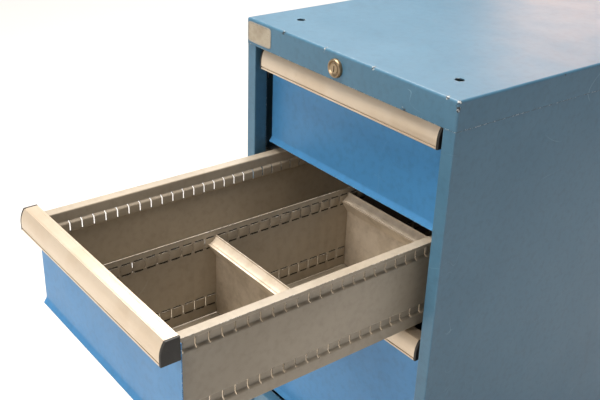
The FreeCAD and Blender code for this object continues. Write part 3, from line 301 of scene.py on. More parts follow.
# edge: how far wear reaches from a fold; rub, line and peel: how strong each shows;
# wornFrom and wornTo: where paint starts to go and is gone; ragged: how far crumbs move a chip's rim
paintWear = {"edge": 2.2, "rub": 0.36, "line": 0.35, "peel": 0.30, "wornFrom": 0.16, "wornTo": 0.24,
             "ragged": -0.022, "chipCore": 0.72, "gloss": -0.01, "matt": 0.03,
             "strength": 0.35, "relief": 0.12, "ior": 1.42}


def paintedSteel(coat):
    finish, tree = startFinish(coat["name"])
    place = addNode(tree, "TexCoord", out="Object")
    p, w = paintPatterns, paintWear
    colours = {6: linear(coat["colour"]), 7: linear(coat["cloud"])}
    colour = addNode(tree, "Mix", {**tint, **colours}, {0: patches(tree, place, **p["cloud"])}, tintOut)
    for name in ("mottle", "smear"):
        share = patches(tree, place, **p[name])
        colour = addNode(tree, "Mix", {**tint, 7: linear(coat["dirt"])}, {0: share, 6: colour}, tintOut)
    along, across = [scratches(tree, place, **p[name]) for name in ("alongScratch", "acrossScratch")]
    hairlines = addNode(tree, "Math", larger, {0: along, 1: across})
    faint = addNode(tree, "Math", {**times, 1: w["line"]}, {0: hairlines})
    colour = addNode(tree, "Mix", {**tint, 7: linear(coat["scratch"])}, {0: faint, 6: colour}, tintOut)

    rub = addNode(tree, "Math", {**times, 1: w["rub"]}, {0: edgeWear(tree, w["edge"])})
    crumbs = blotches(tree, place, **p["crumbs"])
    loose = addNode(tree, "Math", plus, {0: rub, 1: crumbs})
    levels = {1: coat["wear"] + w["wornFrom"], 2: coat["wear"] + w["wornTo"], 3: 0.0, 4: 1.0}
    worn = addNode(tree, "MapRange", {**eased, **levels}, {0: loose})
    for x, y, z, radius in coat["chips"]:
        # a chip is a ragged ball of missing paint: distance from its middle plus some crumb noise
        spot = {"operation": "DISTANCE", 1: (x * mm, y * mm, z * mm)}
        off = addNode(tree, "VectorMath", spot, {0: place}, "Value")
        centred = addNode(tree, "Math", {**minus, 1: 0.5}, {0: crumbs})
        moved = addNode(tree, "Math", {**times, 1: w["ragged"]}, {0: centred})
        ragged = addNode(tree, "Math", plus, {0: off, 1: moved})
        levels = {1: radius * mm, 2: radius * mm * w["chipCore"], 3: 0.0, 4: 1.0}
        chip = addNode(tree, "MapRange", {**eased, **levels}, {0: ragged})
        worn = addNode(tree, "Math", larger, {0: worn, 1: chip})
    colours = {6: linear(coat["chip"]), 7: linear(coat["steel"])}
    under = addNode(tree, "Mix", {**tint, **colours}, {0: patches(tree, place, **p["bare"])}, tintOut)
    colour = addNode(tree, "Mix", tint, {0: worn, 6: colour, 7: under}, tintOut)

    gloss = (coat["roughness"] + w["gloss"], coat["roughness"] + w["matt"])
    dull = patches(tree, place, amount=gloss, **p["dull"])
    peel = addNode(tree, "Math", {**times, 1: w["peel"]}, {0: blotches(tree, place, **p["peel"])})
    height = addNode(tree, "Math", minus, {0: peel, 1: worn})
    bump = addNode(tree, "Bump", {"Strength": w["strength"], "Distance": w["relief"] * mm},
                   {"Height": height})
    return finishWith(finish, {"Base Color": colour, "Roughness": dull, "Normal": bump, "IOR": w["ior"]})


# Anodised aluminium: an extruded bar with a warm champagne anodising. The extrusion's drawing
# lines run along the bar and stretch the highlights across it; hands leave dull smudges.
anodising = {
    "light": "#D0C2AE", "deep": "#CABAA4", "smudge": "#94826A", "metallic": 0.45,
    "roughness": 0.26, "lineRough": 0.16, "smudgeRough": 0.25, "nick": 0.5, "strength": 0.22, "relief": 0.06,
}
anodisedPatterns = {
    "lines": {"size": 1.0, "stretch": (0.012, 1, 1), "detail": 2.0},
    "tone": {"size": 55, "fade": (0.38, 0.66), "detail": 4.0},
    "smudge": {"size": 24, "fade": (0.58, 0.80), "amount": (0.0, 0.16), "stretch": (0.6, 1, 1),
               "detail": 5.0, "shift": 3.0},
    "nicks": {"size": 16, "stretch": (0.5, 1, 1), "width": 0.004, "share": 0.60, "shift": 2.2},
}


def anodisedAluminium():
    finish, tree = startFinish("anodisedAluminiumChampagne")
    place = addNode(tree, "TexCoord", out="Object")
    a, p = anodising, anodisedPatterns
    lines = blotches(tree, place, **p["lines"])
    smudge = patches(tree, place, **p["smudge"])
    colours = {6: linear(a["light"]), 7: linear(a["deep"])}
    colour = addNode(tree, "Mix", {**tint, **colours}, {0: patches(tree, place, **p["tone"])}, tintOut)
    nicks = addNode(tree, "Math", {**times, 1: a["nick"]}, {0: scratches(tree, place, **p["nicks"])})
    for share in (smudge, nicks):
        colour = addNode(tree, "Mix", {**tint, 7: linear(a["smudge"])}, {0: share, 6: colour}, tintOut)
    smudged = addNode(tree, "Math", {**times, 1: a["smudgeRough"]}, {0: smudge})
    base = addNode(tree, "Math", {**plus, 1: a["roughness"]}, {0: smudged})
    drawn = addNode(tree, "Math", {**times, 1: a["lineRough"]}, {0: lines})
    rough = addNode(tree, "Math", plus, {0: drawn, 1: base})
    bump = addNode(tree, "Bump", {"Strength": a["strength"], "Distance": a["relief"] * mm}, {"Height": lines})
    return finishWith(finish, {"Base Color": colour, "Roughness": rough, "Normal": bump,
                               "Metallic": a["metallic"]})


# ABS and nylon: injection moulded with a fine spark-eroded grain, so black looks soft and grey
# at grazing angles, with pale rub marks on the corners.
mouldedPatterns = {
    "grain": {"size": 1.3, "detail": 3.0},
    "cloud": {"size": 12, "fade": (0.45, 0.75), "amount": (0.0, 0.5), "detail": 4.0, "shift": 1.0},
    "rub": {"size": 7, "fade": (0.42, 0.62), "amount": (0.1, 0.8), "shift": 4.0},
}
mouldedWear = {"edge": 1.2, "grainRough": 0.25, "strength": 0.4, "relief": 0.08, "ior": 1.54}


def mouldedAbs(name, colour, rubbed, roughness):
    finish, tree = startFinish(name)
    place = addNode(tree, "TexCoord", out="Object")
    p, w = mouldedPatterns, mouldedWear
    grain = blotches(tree, place, **p["grain"])
    edges = {0: edgeWear(tree, w["edge"]), 1: patches(tree, place, **p["rub"])}
    rub = addNode(tree, "Math", times, edges)
    share = addNode(tree, "Math", larger, {0: patches(tree, place, **p["cloud"]), 1: rub})
    colour = addNode(tree, "Mix", {**tint, 6: linear(colour), 7: linear(rubbed)}, {0: share}, tintOut)
    grainy = addNode(tree, "Math", {**times, 1: w["grainRough"]}, {0: grain})
    rough = addNode(tree, "Math", {**plus, 1: roughness}, {0: grainy})
    bump = addNode(tree, "Bump", {"Strength": w["strength"], "Distance": w["relief"] * mm}, {"Height": grain})
    return finishWith(finish, {"Base Color": colour, "Roughness": rough, "Normal": bump, "IOR": w["ior"]})


# Plated steel: electroplated after forming, so it is a bright grey with cloudy passivation,
# faint rolling lines and dull bloom in patches.
platedPatterns = {
    "bloom": {"size": 22, "fade": (0.38, 0.68), "detail": 5.0},
    "lines": {"size": 1.6, "detail": 2.0, "shift": 2.0},
    "nicks": {"size": 20, "stretch": (1, 0.4, 1), "width": 0.004, "share": 0.56, "shift": 5.5},
}
plating = {"spangle": 4.5, "bloomTint": 0.6, "spangleTint": 0.25, "nick": 0.5, "lineRough": 0.14,
           "bloomRough": 0.16, "strength": 0.2, "relief": 0.06}


def platedSteel(name, bright, dark, roughness, rolled, metallic=0.9):
    finish, tree = startFinish(name)
    place = addNode(tree, "TexCoord", out="Object")
    p, w = platedPatterns, plating
    bloom = patches(tree, place, **p["bloom"])
    lines = blotches(tree, place, stretch=rolled, **p["lines"])
    spangle = addNode(tree, "TexVoronoi", {"Scale": 1000 / w["spangle"]}, {"Vector": place}, "Color")
    grey = addNode(tree, "RGBToBW", links={0: spangle})
    clouded = addNode(tree, "Math", {**times, 1: w["bloomTint"]}, {0: bloom})
    spangled = addNode(tree, "Math", {**times, 1: w["spangleTint"]}, {0: grey})
    amount = addNode(tree, "Math", plus, {0: clouded, 1: spangled})
    colour = addNode(tree, "Mix", {**tint, 6: linear(bright), 7: linear(dark)}, {0: amount}, tintOut)
    nicks = addNode(tree, "Math", {**times, 1: w["nick"]}, {0: scratches(tree, place, **p["nicks"])})
    colour = addNode(tree, "Mix", {**tint, 7: linear(dark)}, {0: nicks, 6: colour}, tintOut)
    bloomed = addNode(tree, "Math", {**times, 1: w["bloomRough"]}, {0: bloom})
    base = addNode(tree, "Math", {**plus, 1: roughness}, {0: bloomed})
    drawn = addNode(tree, "Math", {**times, 1: w["lineRough"]}, {0: lines})
    rough = addNode(tree, "Math", plus, {0: drawn, 1: base})
    bump = addNode(tree, "Bump", {"Strength": w["strength"], "Distance": w["relief"] * mm}, {"Height": lines})
    return finishWith(finish, {"Base Color": colour, "Roughness": rough, "Normal": bump,
                               "Metallic": metallic})


# Rubber: moulded solid tread, dull black-grey with dust ground into it.
rubberPatterns = {
    "dust": {"size": 14, "fade": (0.42, 0.72), "detail": 6.0},
    "grain": {"size": 1.8, "detail": 3.0, "shift": 2.0},
}
rubber = {"dark": "#2C2D2E", "dusty": "#5A5853", "roughness": 0.62, "grainRough": 0.2,
          "strength": 0.5, "relief": 0.15}


def mouldedRubber():
    finish, tree = startFinish("solidRubberTread")
    place = addNode(tree, "TexCoord", out="Object")
    grain = blotches(tree, place, **rubberPatterns["grain"])
    colours = {6: linear(rubber["dark"]), 7: linear(rubber["dusty"])}
    dust = patches(tree, place, **rubberPatterns["dust"])
    colour = addNode(tree, "Mix", {**tint, **colours}, {0: dust}, tintOut)
    grainy = addNode(tree, "Math", {**times, 1: rubber["grainRough"]}, {0: grain})
    rough = addNode(tree, "Math", {**plus, 1: rubber["roughness"]}, {0: grainy})
    relief = {"Strength": rubber["strength"], "Distance": rubber["relief"] * mm}
    bump = addNode(tree, "Bump", relief, {"Height": grain})
    return finishWith(finish, {"Base Color": colour, "Roughness": rough, "Normal": bump})


# Enamelled plate: cream, a little yellowed, with spots of dirt and edges worn to a grey blue.
platePatterns = {
    "age": {"size": 16, "fade": (0.38, 0.70), "detail": 5.0},
    "spots": {"size": 3.2, "fade": (0.60, 0.72), "amount": (0.0, 0.6), "detail": 4.0, "shift": 3.0},
    "gloss": {"size": 5, "fade": (0.3, 0.7), "amount": (0.28, 0.5), "shift": 5.0},
    "grain": {"size": 2.0, "shift": 8.0},
}
enamel = {"cream": "#A39A88", "aged": "#8F8471", "spot": "#6A604C", "worn": "#6E7F8A",
          "edge": 1.5, "rub": 0.7, "strength": 0.25, "relief": 0.06}


def creamPlate():
    finish, tree = startFinish("enamelledPlateCream")
    place = addNode(tree, "TexCoord", out="Object")
    p, e = platePatterns, enamel
    colours = {6: linear(e["cream"]), 7: linear(e["aged"])}
    colour = addNode(tree, "Mix", {**tint, **colours}, {0: patches(tree, place, **p["age"])}, tintOut)
    rub = addNode(tree, "Math", {**times, 1: e["rub"]}, {0: edgeWear(tree, e["edge"])})
    for share, over in ((patches(tree, place, **p["spots"]), e["spot"]), (rub, e["worn"])):
        colour = addNode(tree, "Mix", {**tint, 7: linear(over)}, {0: share, 6: colour}, tintOut)
    grain = blotches(tree, place, **p["grain"])
    bump = addNode(tree, "Bump", {"Strength": e["strength"], "Distance": e["relief"] * mm}, {"Height": grain})
    rough = patches(tree, place, **p["gloss"])
    return finishWith(finish, {"Base Color": colour, "Roughness": rough, "Normal": bump})


# Painted slit shade: a nearly black, dull finish with paler flecks for the blocks in the partition's narrow
# slits, standing in for the shade inside them.
slitShadeLook = {"dark": "#0E0C09", "pale": "#3A342A", "smoothest": 0.7, "roughest": 0.95, "strength": 0.4, "relief": 0.2,
              "crumbs": {"size": 2.2, "fade": (0.50, 0.75), "detail": 4.0}}


def paintedSlitShade():
    finish, tree = startFinish("paintedSlitShadeBlack")
    place = addNode(tree, "TexCoord", out="Object")
    g = slitShadeLook
    crumbs = patches(tree, place, **g["crumbs"])
    colours = {6: linear(g["dark"]), 7: linear(g["pale"])}
    colour = addNode(tree, "Mix", {**tint, **colours}, {0: crumbs}, tintOut)
    rough = addNode(tree, "MapRange", {**eased, 1: 0.0, 2: 1.0, 3: g["smoothest"], 4: g["roughest"]}, {0: crumbs})
    bump = addNode(tree, "Bump", {"Strength": g["strength"], "Distance": g["relief"] * mm},
                   {"Height": crumbs})
    return finishWith(finish, {"Base Color": colour, "Roughness": rough, "Normal": bump})


housingPaint = paintedSteel(housingCoat)
frontPaint = paintedSteel(frontCoat)
trayPaint = paintedSteel(trayCoat)
handleMetal = anodisedAluminium()
capPlastic = mouldedAbs("mouldedAbsBlack", "#100E0A", "#2A261E", 0.42)
rollerPlastic = mouldedAbs("mouldedNylonIvory", "#D9D3C2", "#B5AC97", 0.40)
hubPlastic = mouldedAbs("mouldedNylonGrey", "#8C9196", "#6B7075", 0.42)
zinc = platedSteel("zincPlatedSteel", "#C9CCCD", "#8D9294", 0.26, (1, 0.03, 1))
dividerMetal = platedSteel("zincPlatedDivider", "#D6CBBB", "#AFA391", 0.36, (0.02, 1, 1), 0.5)
nickel = platedSteel("nickelPlatedBrass", "#A8957A", "#75654C", 0.24, (1, 1, 1))
treadRubber = mouldedRubber()
# a nearly black finish that paints the shade inside the partition's slits
slitShadeFinish = paintedSlitShade()
plateCream = creamPlate()
print("finishes made")


# Handles: extruded bars with a flat top, a round front and a label groove.
handleShape = {
    "depth": 23.7, "height": 29.5, "flat": 17.5, "chin": 10.0, "round": 34.0, "edge": 0.35,
    "grooveLift": 2.4, "grooveHeight": 1.6, "grooveDepth": 1.8,
    "ridge": 0.45, "ridgeStart": 0.9, "ridgeEnd": 1.8, "ridgeFoot": 2.2,
    "seam": 4.0, "seamHalf": 0.4, "seamDepth": 0.3,
    "capRuns": (0, 0.6, 0.8, 0.92, 0.98, 1.0), "capShrinks": (0, 0, 0.08, 0.25, 0.5, 0.9),
}


def handleOutline(grooved):
    # seen from the right: y back from the drawer front, z down from the handle's top.
    # The round front is an arc whose middle lies on the chord's bisector.
    s = handleShape
    chinTop = np.array([-s["depth"], s["chin"] - s["height"]])
    ridge = np.array([-s["flat"], 0.0])
    run = ridge - chinTop
    length = np.linalg.norm(run)
    across = np.array([run[1], -run[0]]) / length
    centre = (chinTop + ridge) / 2 + across * math.sqrt(s["round"] ** 2 - length ** 2 / 4)
    ends = [math.atan2(*(spot - centre)[::-1]) for spot in (chinTop, ridge)]
    if ends[0] < 0:
        ends[0] += 2 * math.pi
    angle = np.linspace(ends[0], ends[1], 14)
    arc = centre + s["round"] * np.stack([np.cos(angle), np.sin(angle)], -1)
    bottom = -s["height"]
    grooveLow = bottom + s["grooveLift"]
    grooveHigh = grooveLow + s["grooveHeight"]
    nose = -s["depth"]
    parts = [[(nose, bottom), (nose, grooveLow)]]
    if grooved:
        floorLine = nose + s["grooveDepth"]
        parts.append([(floorLine, grooveLow), (floorLine, grooveHigh), (nose, grooveHigh)])
        parts.append(arc)
        # a shallow step where the flat top meets the round front
        step = -s["flat"]
        parts.append([(step + s["ridgeStart"], -s["ridge"]), (step + s["ridgeEnd"], -s["ridge"]),
                      (step + s["ridgeFoot"], 0)])
        # a fine seam along the flat top
        seam = -s["seam"]
        parts.append([(seam - s["seamHalf"], 0), (seam, -s["seamDepth"]), (seam + s["seamHalf"], 0)])
    else:
        parts.append(arc)
    parts.append([(0, 0), (0, bottom)])
    return np.vstack(parts)


for number in (1, 2, 3):
    low, high = box(f"handle_{number}")
    back, top = high[1], high[2]
    bar = handleOutline(True) + (back, top)
    points, faces = carriedX(bar, np.linspace(low[0], high[0], 12))
    piece = addPiece(f"handleBar_{number}", points, faces, handleMetal, f"drawer_{number}",
                     [f"handle_{number}"], crease=20)
    soften(piece, handleShape["edge"])
    capLow, capHigh = box(f"handle_caps_{number}")
    plug = handleOutline(False) + (back, top)
    for side, tag in ((-1, "left"), (1, "right")):
        inner, outer = (low[0], capLow[0]) if side < 0 else (high[0], capHigh[0])
        depth = outer - inner
        # the outer face is rounded off: the outline shrinks as it nears the end
        stations = inner + depth * np.array(handleShape["capRuns"])
        points, faces = carriedX(plug, stations, handleShape["capShrinks"])
        addPiece(f"handleCap_{number}_{tag}", points, faces, capPlastic, f"drawer_{number}",
                 [f"handle_caps_{number}"], crease=50)
print("handles made")


# Trays: one sheet folded into floor, two beaded and slotted walls and flanges.
trayShape = {
    "sheet": 1.2, "flange": 13.0, "beadDepth": 4.0, "beadHeight": 13.5, "beadDrop": 16.0, "beadLift": 18.0,
    "slotPitch": 17.0, "slotWidth": 1.8, "slotStart": 13.5, "slots": 36, "slotPast": 0.4,
    "slotsBeyond": 100.0,
    "beadSlope": 1.2, "topFold": 1.6, "beadFold": 1.9, "floorFold": 2.6,
}


def slotEdges(start):
    # the two edges of every slot, in order
    s = trayShape
    middles = start + s["slotStart"] + s["slotPitch"] * np.arange(s["slots"])
    return np.stack([middles - s["slotWidth"] / 2, middles + s["slotWidth"] / 2], -1).reshape(-1), middles


def trayHalf(outer, flangeTop, underside):
    # middle line of the sheet, from the flange's edge down the wall to the floor
    s = trayShape
    halfSheet = s["sheet"] / 2
    wall = outer - s["flange"] - halfSheet
    bead = wall - s["beadDepth"]
    highTop = flangeTop - s["beadDrop"] + halfSheet
    highBottom = flangeTop - s["beadDrop"] - s["beadHeight"] - halfSheet
    lowTop = underside + s["beadLift"] + s["beadHeight"] + halfSheet
    lowBottom = underside + s["beadLift"] - halfSheet
    corners = [(outer, flangeTop - halfSheet), (wall, flangeTop - halfSheet)]
    for upper, lower in ((highTop, highBottom), (lowTop, lowBottom)):
        corners += [(wall, upper), (bead, upper - s["beadSlope"]), (bead, lower + s["beadSlope"]), (wall,
                                                                                                    lower)]
    corners += [(wall, underside + halfSheet), (0, underside + halfSheet)]
    reach = [0, s["topFold"]] + [s["beadFold"]] * 8 + [s["floorFold"], 0]
    return rounded(corners, reach, 6), [(lowBottom, lowTop), (highBottom, highTop)]


for number in (1, 2, 3):
    low, high = box(f"tray_{number}")
    halfPath, bands = trayHalf(high[0], high[2], low[2])
    whole = np.vstack([halfPath, (halfPath * (-1, 1))[::-1][1:]])
    edges, middles = slotEdges(low[1])
    stations = np.concatenate([[low[1]], edges, [high[1]]])

    def inSlot(middle):
        onSlot = np.abs(middle[:, 1:2] - middles[None, :]).min(1) < trayShape["slotWidth"] / 2
        inBand = np.zeros(len(middle), bool)
        past = trayShape["slotPast"]
        for bottom, topEdge in bands:
            inBand |= (middle[:, 2] > bottom - past) & (middle[:, 2] < topEdge + past)
        return onSlot & inBand & (np.abs(middle[:, 0]) > trayShape["slotsBeyond"])

    points, faces = bent(whole, stations, inSlot)
    piece = addPiece(f"trayShell_{number}", points, faces, trayPaint, f"drawer_{number}",
                     [f"tray_{number}"], closed=False)
    thicken(piece, trayShape["sheet"])
print("trays made")


# Drawer fronts: a sheet with a flared lip.
frontShape = {"sheet": 1.2, "lipHeight": 8.0, "lipLift": 0.5, "lipFold": 2.5, "edge": 0.3}

for number in (1, 2, 3):
    low, high = box(f"front_panel_{number}")
    face = high[1] - frontShape["sheet"]
    lipTop = low[2] + frontShape["lipHeight"]
    halfSheet = frontShape["sheet"] / 2
    corners = [(face + halfSheet, high[2]), (face + halfSheet, lipTop),
               (low[1] + halfSheet, low[2] + frontShape["lipLift"])]
    path = rounded(corners, [0, frontShape["lipFold"], 0], 9)
    path = np.vstack([np.linspace(path[0], path[1], 7)[:-1], path[1:]])
    outline = sheetOutline(path, frontShape["sheet"])
    outline[:, 1] = np.clip(outline[:, 1], low[2], high[2])
    outline[:, 0] = np.maximum(outline[:, 0], low[1])
    points, faces = carriedX(outline, np.linspace(low[0], high[0], 15))
    piece = addPiece(f"drawerFront_{number}", points, faces, frontPaint, f"drawer_{number}",
                     [f"front_panel_{number}"], crease=30)
    soften(piece, frontShape["edge"])
print("fronts made")


# Partition: a sheet with two pressed bands, cut into bridges at the slot pitch.
# the last two keys set the blocks of painted shade in the slits back from the face and give their thickness
partitionShape = {"sheet": 1.0, "press": 1.1, "dash": 12.0, "tick": 1.3, "bandHalf": 8.2, "low": -0.74,
                  "high": 0.82,
                  "rows": (-0.3, 0.1, 0.5), "pressMiddle": 0.07, "pressHalf": 0.78, "pressPast": 0.1,
                  "slitShadeBack": 0.15, "slitShadeThick": 0.5}

low, high = box("partition")
trayLow, trayHigh = box("tray_2")
s = trayShape
bandMiddles = [trayHigh[2] - s["beadDrop"] - s["beadHeight"] / 2,
               trayLow[2] + s["beadLift"] + s["beadHeight"] / 2]
_, middles = slotEdges(trayLow[1])
p = partitionShape
yEdges = np.concatenate([[low[1], high[1]], middles - p["tick"] / 2, middles + p["tick"] / 2,
                         middles + s["slotPitch"] / 2 - p["dash"] / 2,
                         middles + s["slotPitch"] / 2 + p["dash"] / 2])
yEdges = np.unique(np.round(yEdges[(yEdges >= low[1]) & (yEdges <= high[1])], 4))
zEdges = [low[2], high[2]]
for bandMiddle in bandMiddles:
    rises = np.array([-1, p["low"], *p["rows"], p["high"], 1]) * p["bandHalf"]
    zEdges = np.concatenate([zEdges, bandMiddle + rises])
zEdges = np.unique(np.round(zEdges, 4))
middleX = (low[0] + high[0]) / 2


def pressed(points):
    # each bridge stands out to the right by the press, its top edge too; its lower edge and the
    # ticks beside it stay in the sheet
    centres = [bandMiddle + p["pressMiddle"] * p["bandHalf"] for bandMiddle in bandMiddles]
    rise = np.min([np.abs(points[..., 2] - centre) for centre in centres], 0)
    between = np.abs(points[..., 1:2] - middles - s["slotPitch"] / 2).min(-1)
    out = (rise < p["pressHalf"] * p["bandHalf"]) & (between < p["dash"] / 2 + p["pressPast"])
    points[..., 0] += p["press"] * out
    return points


def cutThrough(middle):
    along = np.abs(middle[:, 1:2] - middles[None, :]).min(1)
    between = np.abs(middle[:, 1:2] - middles[None, :] - s["slotPitch"] / 2).min(1)
    gone = np.zeros(len(middle), bool)
    for bandMiddle in bandMiddles:
        rise = (middle[:, 2] - bandMiddle) / p["bandHalf"]
        gone |= (along < p["tick"] / 2) & (rise > p["low"]) & (rise < p["high"])
        slit = ((rise > p["high"]) & (rise < 1)) | ((rise < p["low"]) & (rise > -1))
        gone |= (between < p["dash"] / 2) & slit
    return gone


path = np.stack([np.full(len(zEdges), middleX), zEdges], -1)
points, faces = bent(path, yEdges, cutThrough, pressed)
piece = addPiece("slottedPartition", points, faces, trayPaint, "drawer_2", ["partition"],
                 closed=False)
thicken(piece, p["sheet"])

# painted shade in the slits: one thin nearly black block in each, set back from the face, standing in for the
# shade inside them
blockCorners = np.array([(x, y, z) for x in (-1, 1) for y in (-1, 1) for z in (-1, 1)], float) / 2
blockFaces = np.array([(0, 1, 3, 2), (4, 6, 7, 5), (0, 4, 5, 1), (2, 3, 7, 6), (0, 2, 6, 4), (1, 5, 7, 3)])
gaps = [y for y in middles + s["slotPitch"] / 2 if low[1] < y - p["dash"] / 2 and y + p["dash"] / 2 < high[1]]
blocks = [((middleX + p["slitShadeBack"], y, bandMiddle + (start + end) / 2 * p["bandHalf"]),
           (p["slitShadeThick"], p["dash"], (end - start) * p["bandHalf"]))
          for bandMiddle in bandMiddles for start, end in ((-1, p["low"]), (p["high"], 1)) for y in gaps]
points = np.concatenate([np.array(centre) + blockCorners * size for centre, size in blocks])
faces = np.concatenate([blockFaces + 8 * number for number in range(len(blocks))]).tolist()
addPiece("partitionSlitShade", points, faces, slitShadeFinish, "drawer_2", ["partition"], crease=20)

# Cross dividers: a plate whose top slopes into a grooved label holder and folds back.
dividerShape = {"sheet": 1.0, "depth": 12.0, "edge": 9.6, "foot": 29.5, "start": 2.2, "groove": 0.9,
                "grooveAt": 0.80, "grooveWidth": 0.06, "noseBack": 0.6, "corner": 0.3,
                "noseTop": 0.1, "noseBottom": 0.9, "tipFront": 0.5, "tipLift": 0.2, "tipBack": 0.35,
                "tipRise": 2.0,
                "foldBack": 1.6, "foldDrop": 1.3, "root": 4.2}

for end in ("front", "rear"):
    d = dividerShape
    low, high = box(f"divider_{end}")
    rear, face, top = high[1], high[1] - d["sheet"], high[2]
    # the label face is a hollow: it falls as a sine, with one groove (a bell curve) before its nose
    t = np.linspace(0, 1, 41)
    drop = np.sin(t * math.pi / 2) * (d["edge"] - d["start"])
    groove = d["groove"] * np.exp(-((t - d["grooveAt"]) / d["grooveWidth"]) ** 2)
    slope = np.stack([face - t * (d["depth"] - d["noseBack"]), top - d["start"] - drop - groove], -1)
    corner, nose, edge, foot = d["corner"], face - d["depth"], top - d["edge"], top - d["foot"]
    outline = np.vstack([
        [(rear, low[2]), (rear, top - corner), (rear - corner, top), (face + corner, top), (face,
                                                                                            top - corner)],
        slope,
        [(nose, edge - d["noseTop"]), (nose, edge - d["noseBottom"]),
         (face - d["tipFront"], foot + d["tipLift"]), (face - d["tipBack"], foot + d["tipRise"]),
         (nose + d["foldBack"], edge - d["foldDrop"]), (face, top - d["root"]), (face, low[2])],
    ])
    points, faces = carriedX(outline, np.linspace(low[0], high[0], 15))
    addPiece(f"crossDivider_{end}", points, faces, dividerMetal, "drawer_2", [f"divider_{end}"],
             crease=25)
print("dividers made")


# Lock: a dished ring pressed over the barrel, round the turning plug.
# The profile is (radius, distance behind the skirt's face); fold is the rounding at each point.
lockShape = {
    "proud": 5.0,
    "profile": [(12.5, 0), (12.5, -3.4), (11.4, -5.0), (10.2, -4.9), (8.8, -3.6), (7.6, -3.0), (6.7, -3.4),
                (6.7, 20.0)],
    "fold": [0, 0.8, 0.5, 0.5, 0.6, 0.3, 0.2, 0],
    "barrel": [(9.0, 20.0), (9.0, 0.0)],
}

low, high = box("lock_barrel")
centre = ((low[0] + high[0]) / 2, low[1] + lockShape["proud"], (low[2] + high[2]) / 2)
ringLine = np.vstack([rounded(lockShape["profile"], lockShape["fold"], 5), lockShape["barrel"]])
points, faces = turned(ringLine, centre, "y", 72)
addPiece("lockRing", points, faces, nickel, "housing", ["lock_barrel"], crease=35)

# Name plate: blank, with rounded corners and a raised rim.
# Each ring of the rim is (inset, depth behind the face).
plateShape = {"power": 9, "points": 96,
              "rings": [(0, 0.12), (0.25, 0), (1.3, 0), (1.6, 0.3), (1.9, 0.34)]}

low, high = box("name_plate")
middle = (low + high) / 2
halfWide, halfHigh = (high[0] - low[0]) / 2, (high[2] - low[2]) / 2
count = plateShape["points"]
turn = np.linspace(0, 2 * math.pi, count, endpoint=False)
# superellipse: cosine and sine raised to 2/power keep nearly straight sides and round corners
edgeX = np.sign(np.cos(turn)) * np.abs(np.cos(turn)) ** (2 / plateShape["power"])
edgeZ = np.sign(np.sin(turn)) * np.abs(np.sin(turn)) ** (2 / plateShape["power"])
rings = [(0, high[1])] + [(inset, low[1] + depth) for inset, depth in plateShape["rings"]]
points = np.concatenate([np.stack([middle[0] + edgeX * (halfWide - inset), np.full(count, depth),
                                   middle[2] + edgeZ * (halfHigh - inset)], -1) for inset, depth in rings])
lastRing = count * (len(rings) - 1)
faces = gridQuads(len(rings), count, loop=True).tolist()
faces += [list(range(count)), list(range(lastRing, lastRing + count))[::-1]]
addPiece("namePlateBlank", points, faces, plateCream, "housing", ["name_plate"], crease=25)
print("lock and plate made")


# Wheels: a moulded hub with a recessed web inside a rubber tread.
# Half a profile is mirrored to the other side. The tread's grooves are distances from the wheel's
# middle; a point of the hub is (radius, distance inside the side face).
wheelShape = {
    "tread": 8.5, "bore": 5.1, "foot": 2.5, "chamfer": 4.5, "bulge": 0.7, "inset": 1.0,
    "grooveDepth": 1.6, "groove": (6, 5, 4, 3), "treadFold": [0, 1, 1.5, 2, 0.6, 0.5, 0.5, 0.6],
    "hub": [(12, 0), (14, 2), (15.5, 6), (34, 6.5), (36, 2)], "hubInset": 1.5,
    "hubFold": [0, 0.8, 1, 1.5, 1.5, 1, 0.3],
}


def mirrored(side, fold):
    # the same points and foldings on the other side of the wheel's middle, in reverse order
    return rounded(side + [(reach, -along) for reach, along in side[::-1]], fold + fold[::-1], 4)


for tag in ("front_left", "front_right", "rear_left", "rear_right"):
    s = wheelShape
    body = f"wheel_{tag}"
    low, high = box(body)
    centre = (low + high) / 2
    radius, half = (high[2] - low[2]) / 2, (high[0] - low[0]) / 2
    inner, floorLine = radius - s["tread"], radius - s["grooveDepth"]
    outer, bottomOut, bottomIn, innerRib = s["groove"]
    side = [(inner, s["inset"] - half), (inner + s["foot"], -half), (radius - s["chamfer"], -half),
            (radius - s["bulge"], s["chamfer"] - half), (radius, -outer), (floorLine, -bottomOut),
            (floorLine, -bottomIn), (radius, -innerRib)]
    points, faces = turned(mirrored(side, s["treadFold"]), centre, "x", 72)
    addPiece(f"tread_{tag}", points, faces, treadRubber, body, [body], crease=35)
    side = [(s["bore"], -half)] + [(reach, inset - half) for reach, inset in s["hub"]]
    side.append((inner, s["hubInset"] - half))
    hub = mirrored(side, s["hubFold"])
    points, faces = turned(hub, centre, "x", 72)
    addPiece(f"hub_{tag}", points, faces, hubPlastic, body, [body], crease=35)
print("wheels made")


# CAD pieces keep their shape and get their finish.
carried = {
    housingPaint: ["top_cap", "side_panel_left", "side_panel_right", "back_panel", "base_pan", "bottom_rail",
                   "caster_beams"],
    trayPaint: [f"{place}_wall_{number}" for place in ("front", "back") for number in (1, 2, 3)],
    zinc: ["lock_nut", "lock_cam", "lock_bar", "slide_rails_left", "slide_rails_right", "caster_plates",
           "caster_bolts", "fork_front_left", "fork_front_right", "fork_rear_left", "fork_rear_right",
           "axle_bolts_rear", "axle_bolt_front_left", "axle_bolt_front_right"]
          + [f"roller_brackets_{number}" for number in (1, 2, 3)],
    nickel: ["lock_plug"],
    rollerPlastic: [f"{place}_rollers_{number}" for place in ("front", "rear") for number in (1, 2, 3)],
    capPlastic: ["brake_pedal_front_left", "brake_pedal_front_right"],
}
for finish, names in carried.items():
    for name in names:
        nodes[name].data.materials.clear()
        nodes[name].data.materials.append(finish)
print("CAD pieces finished")


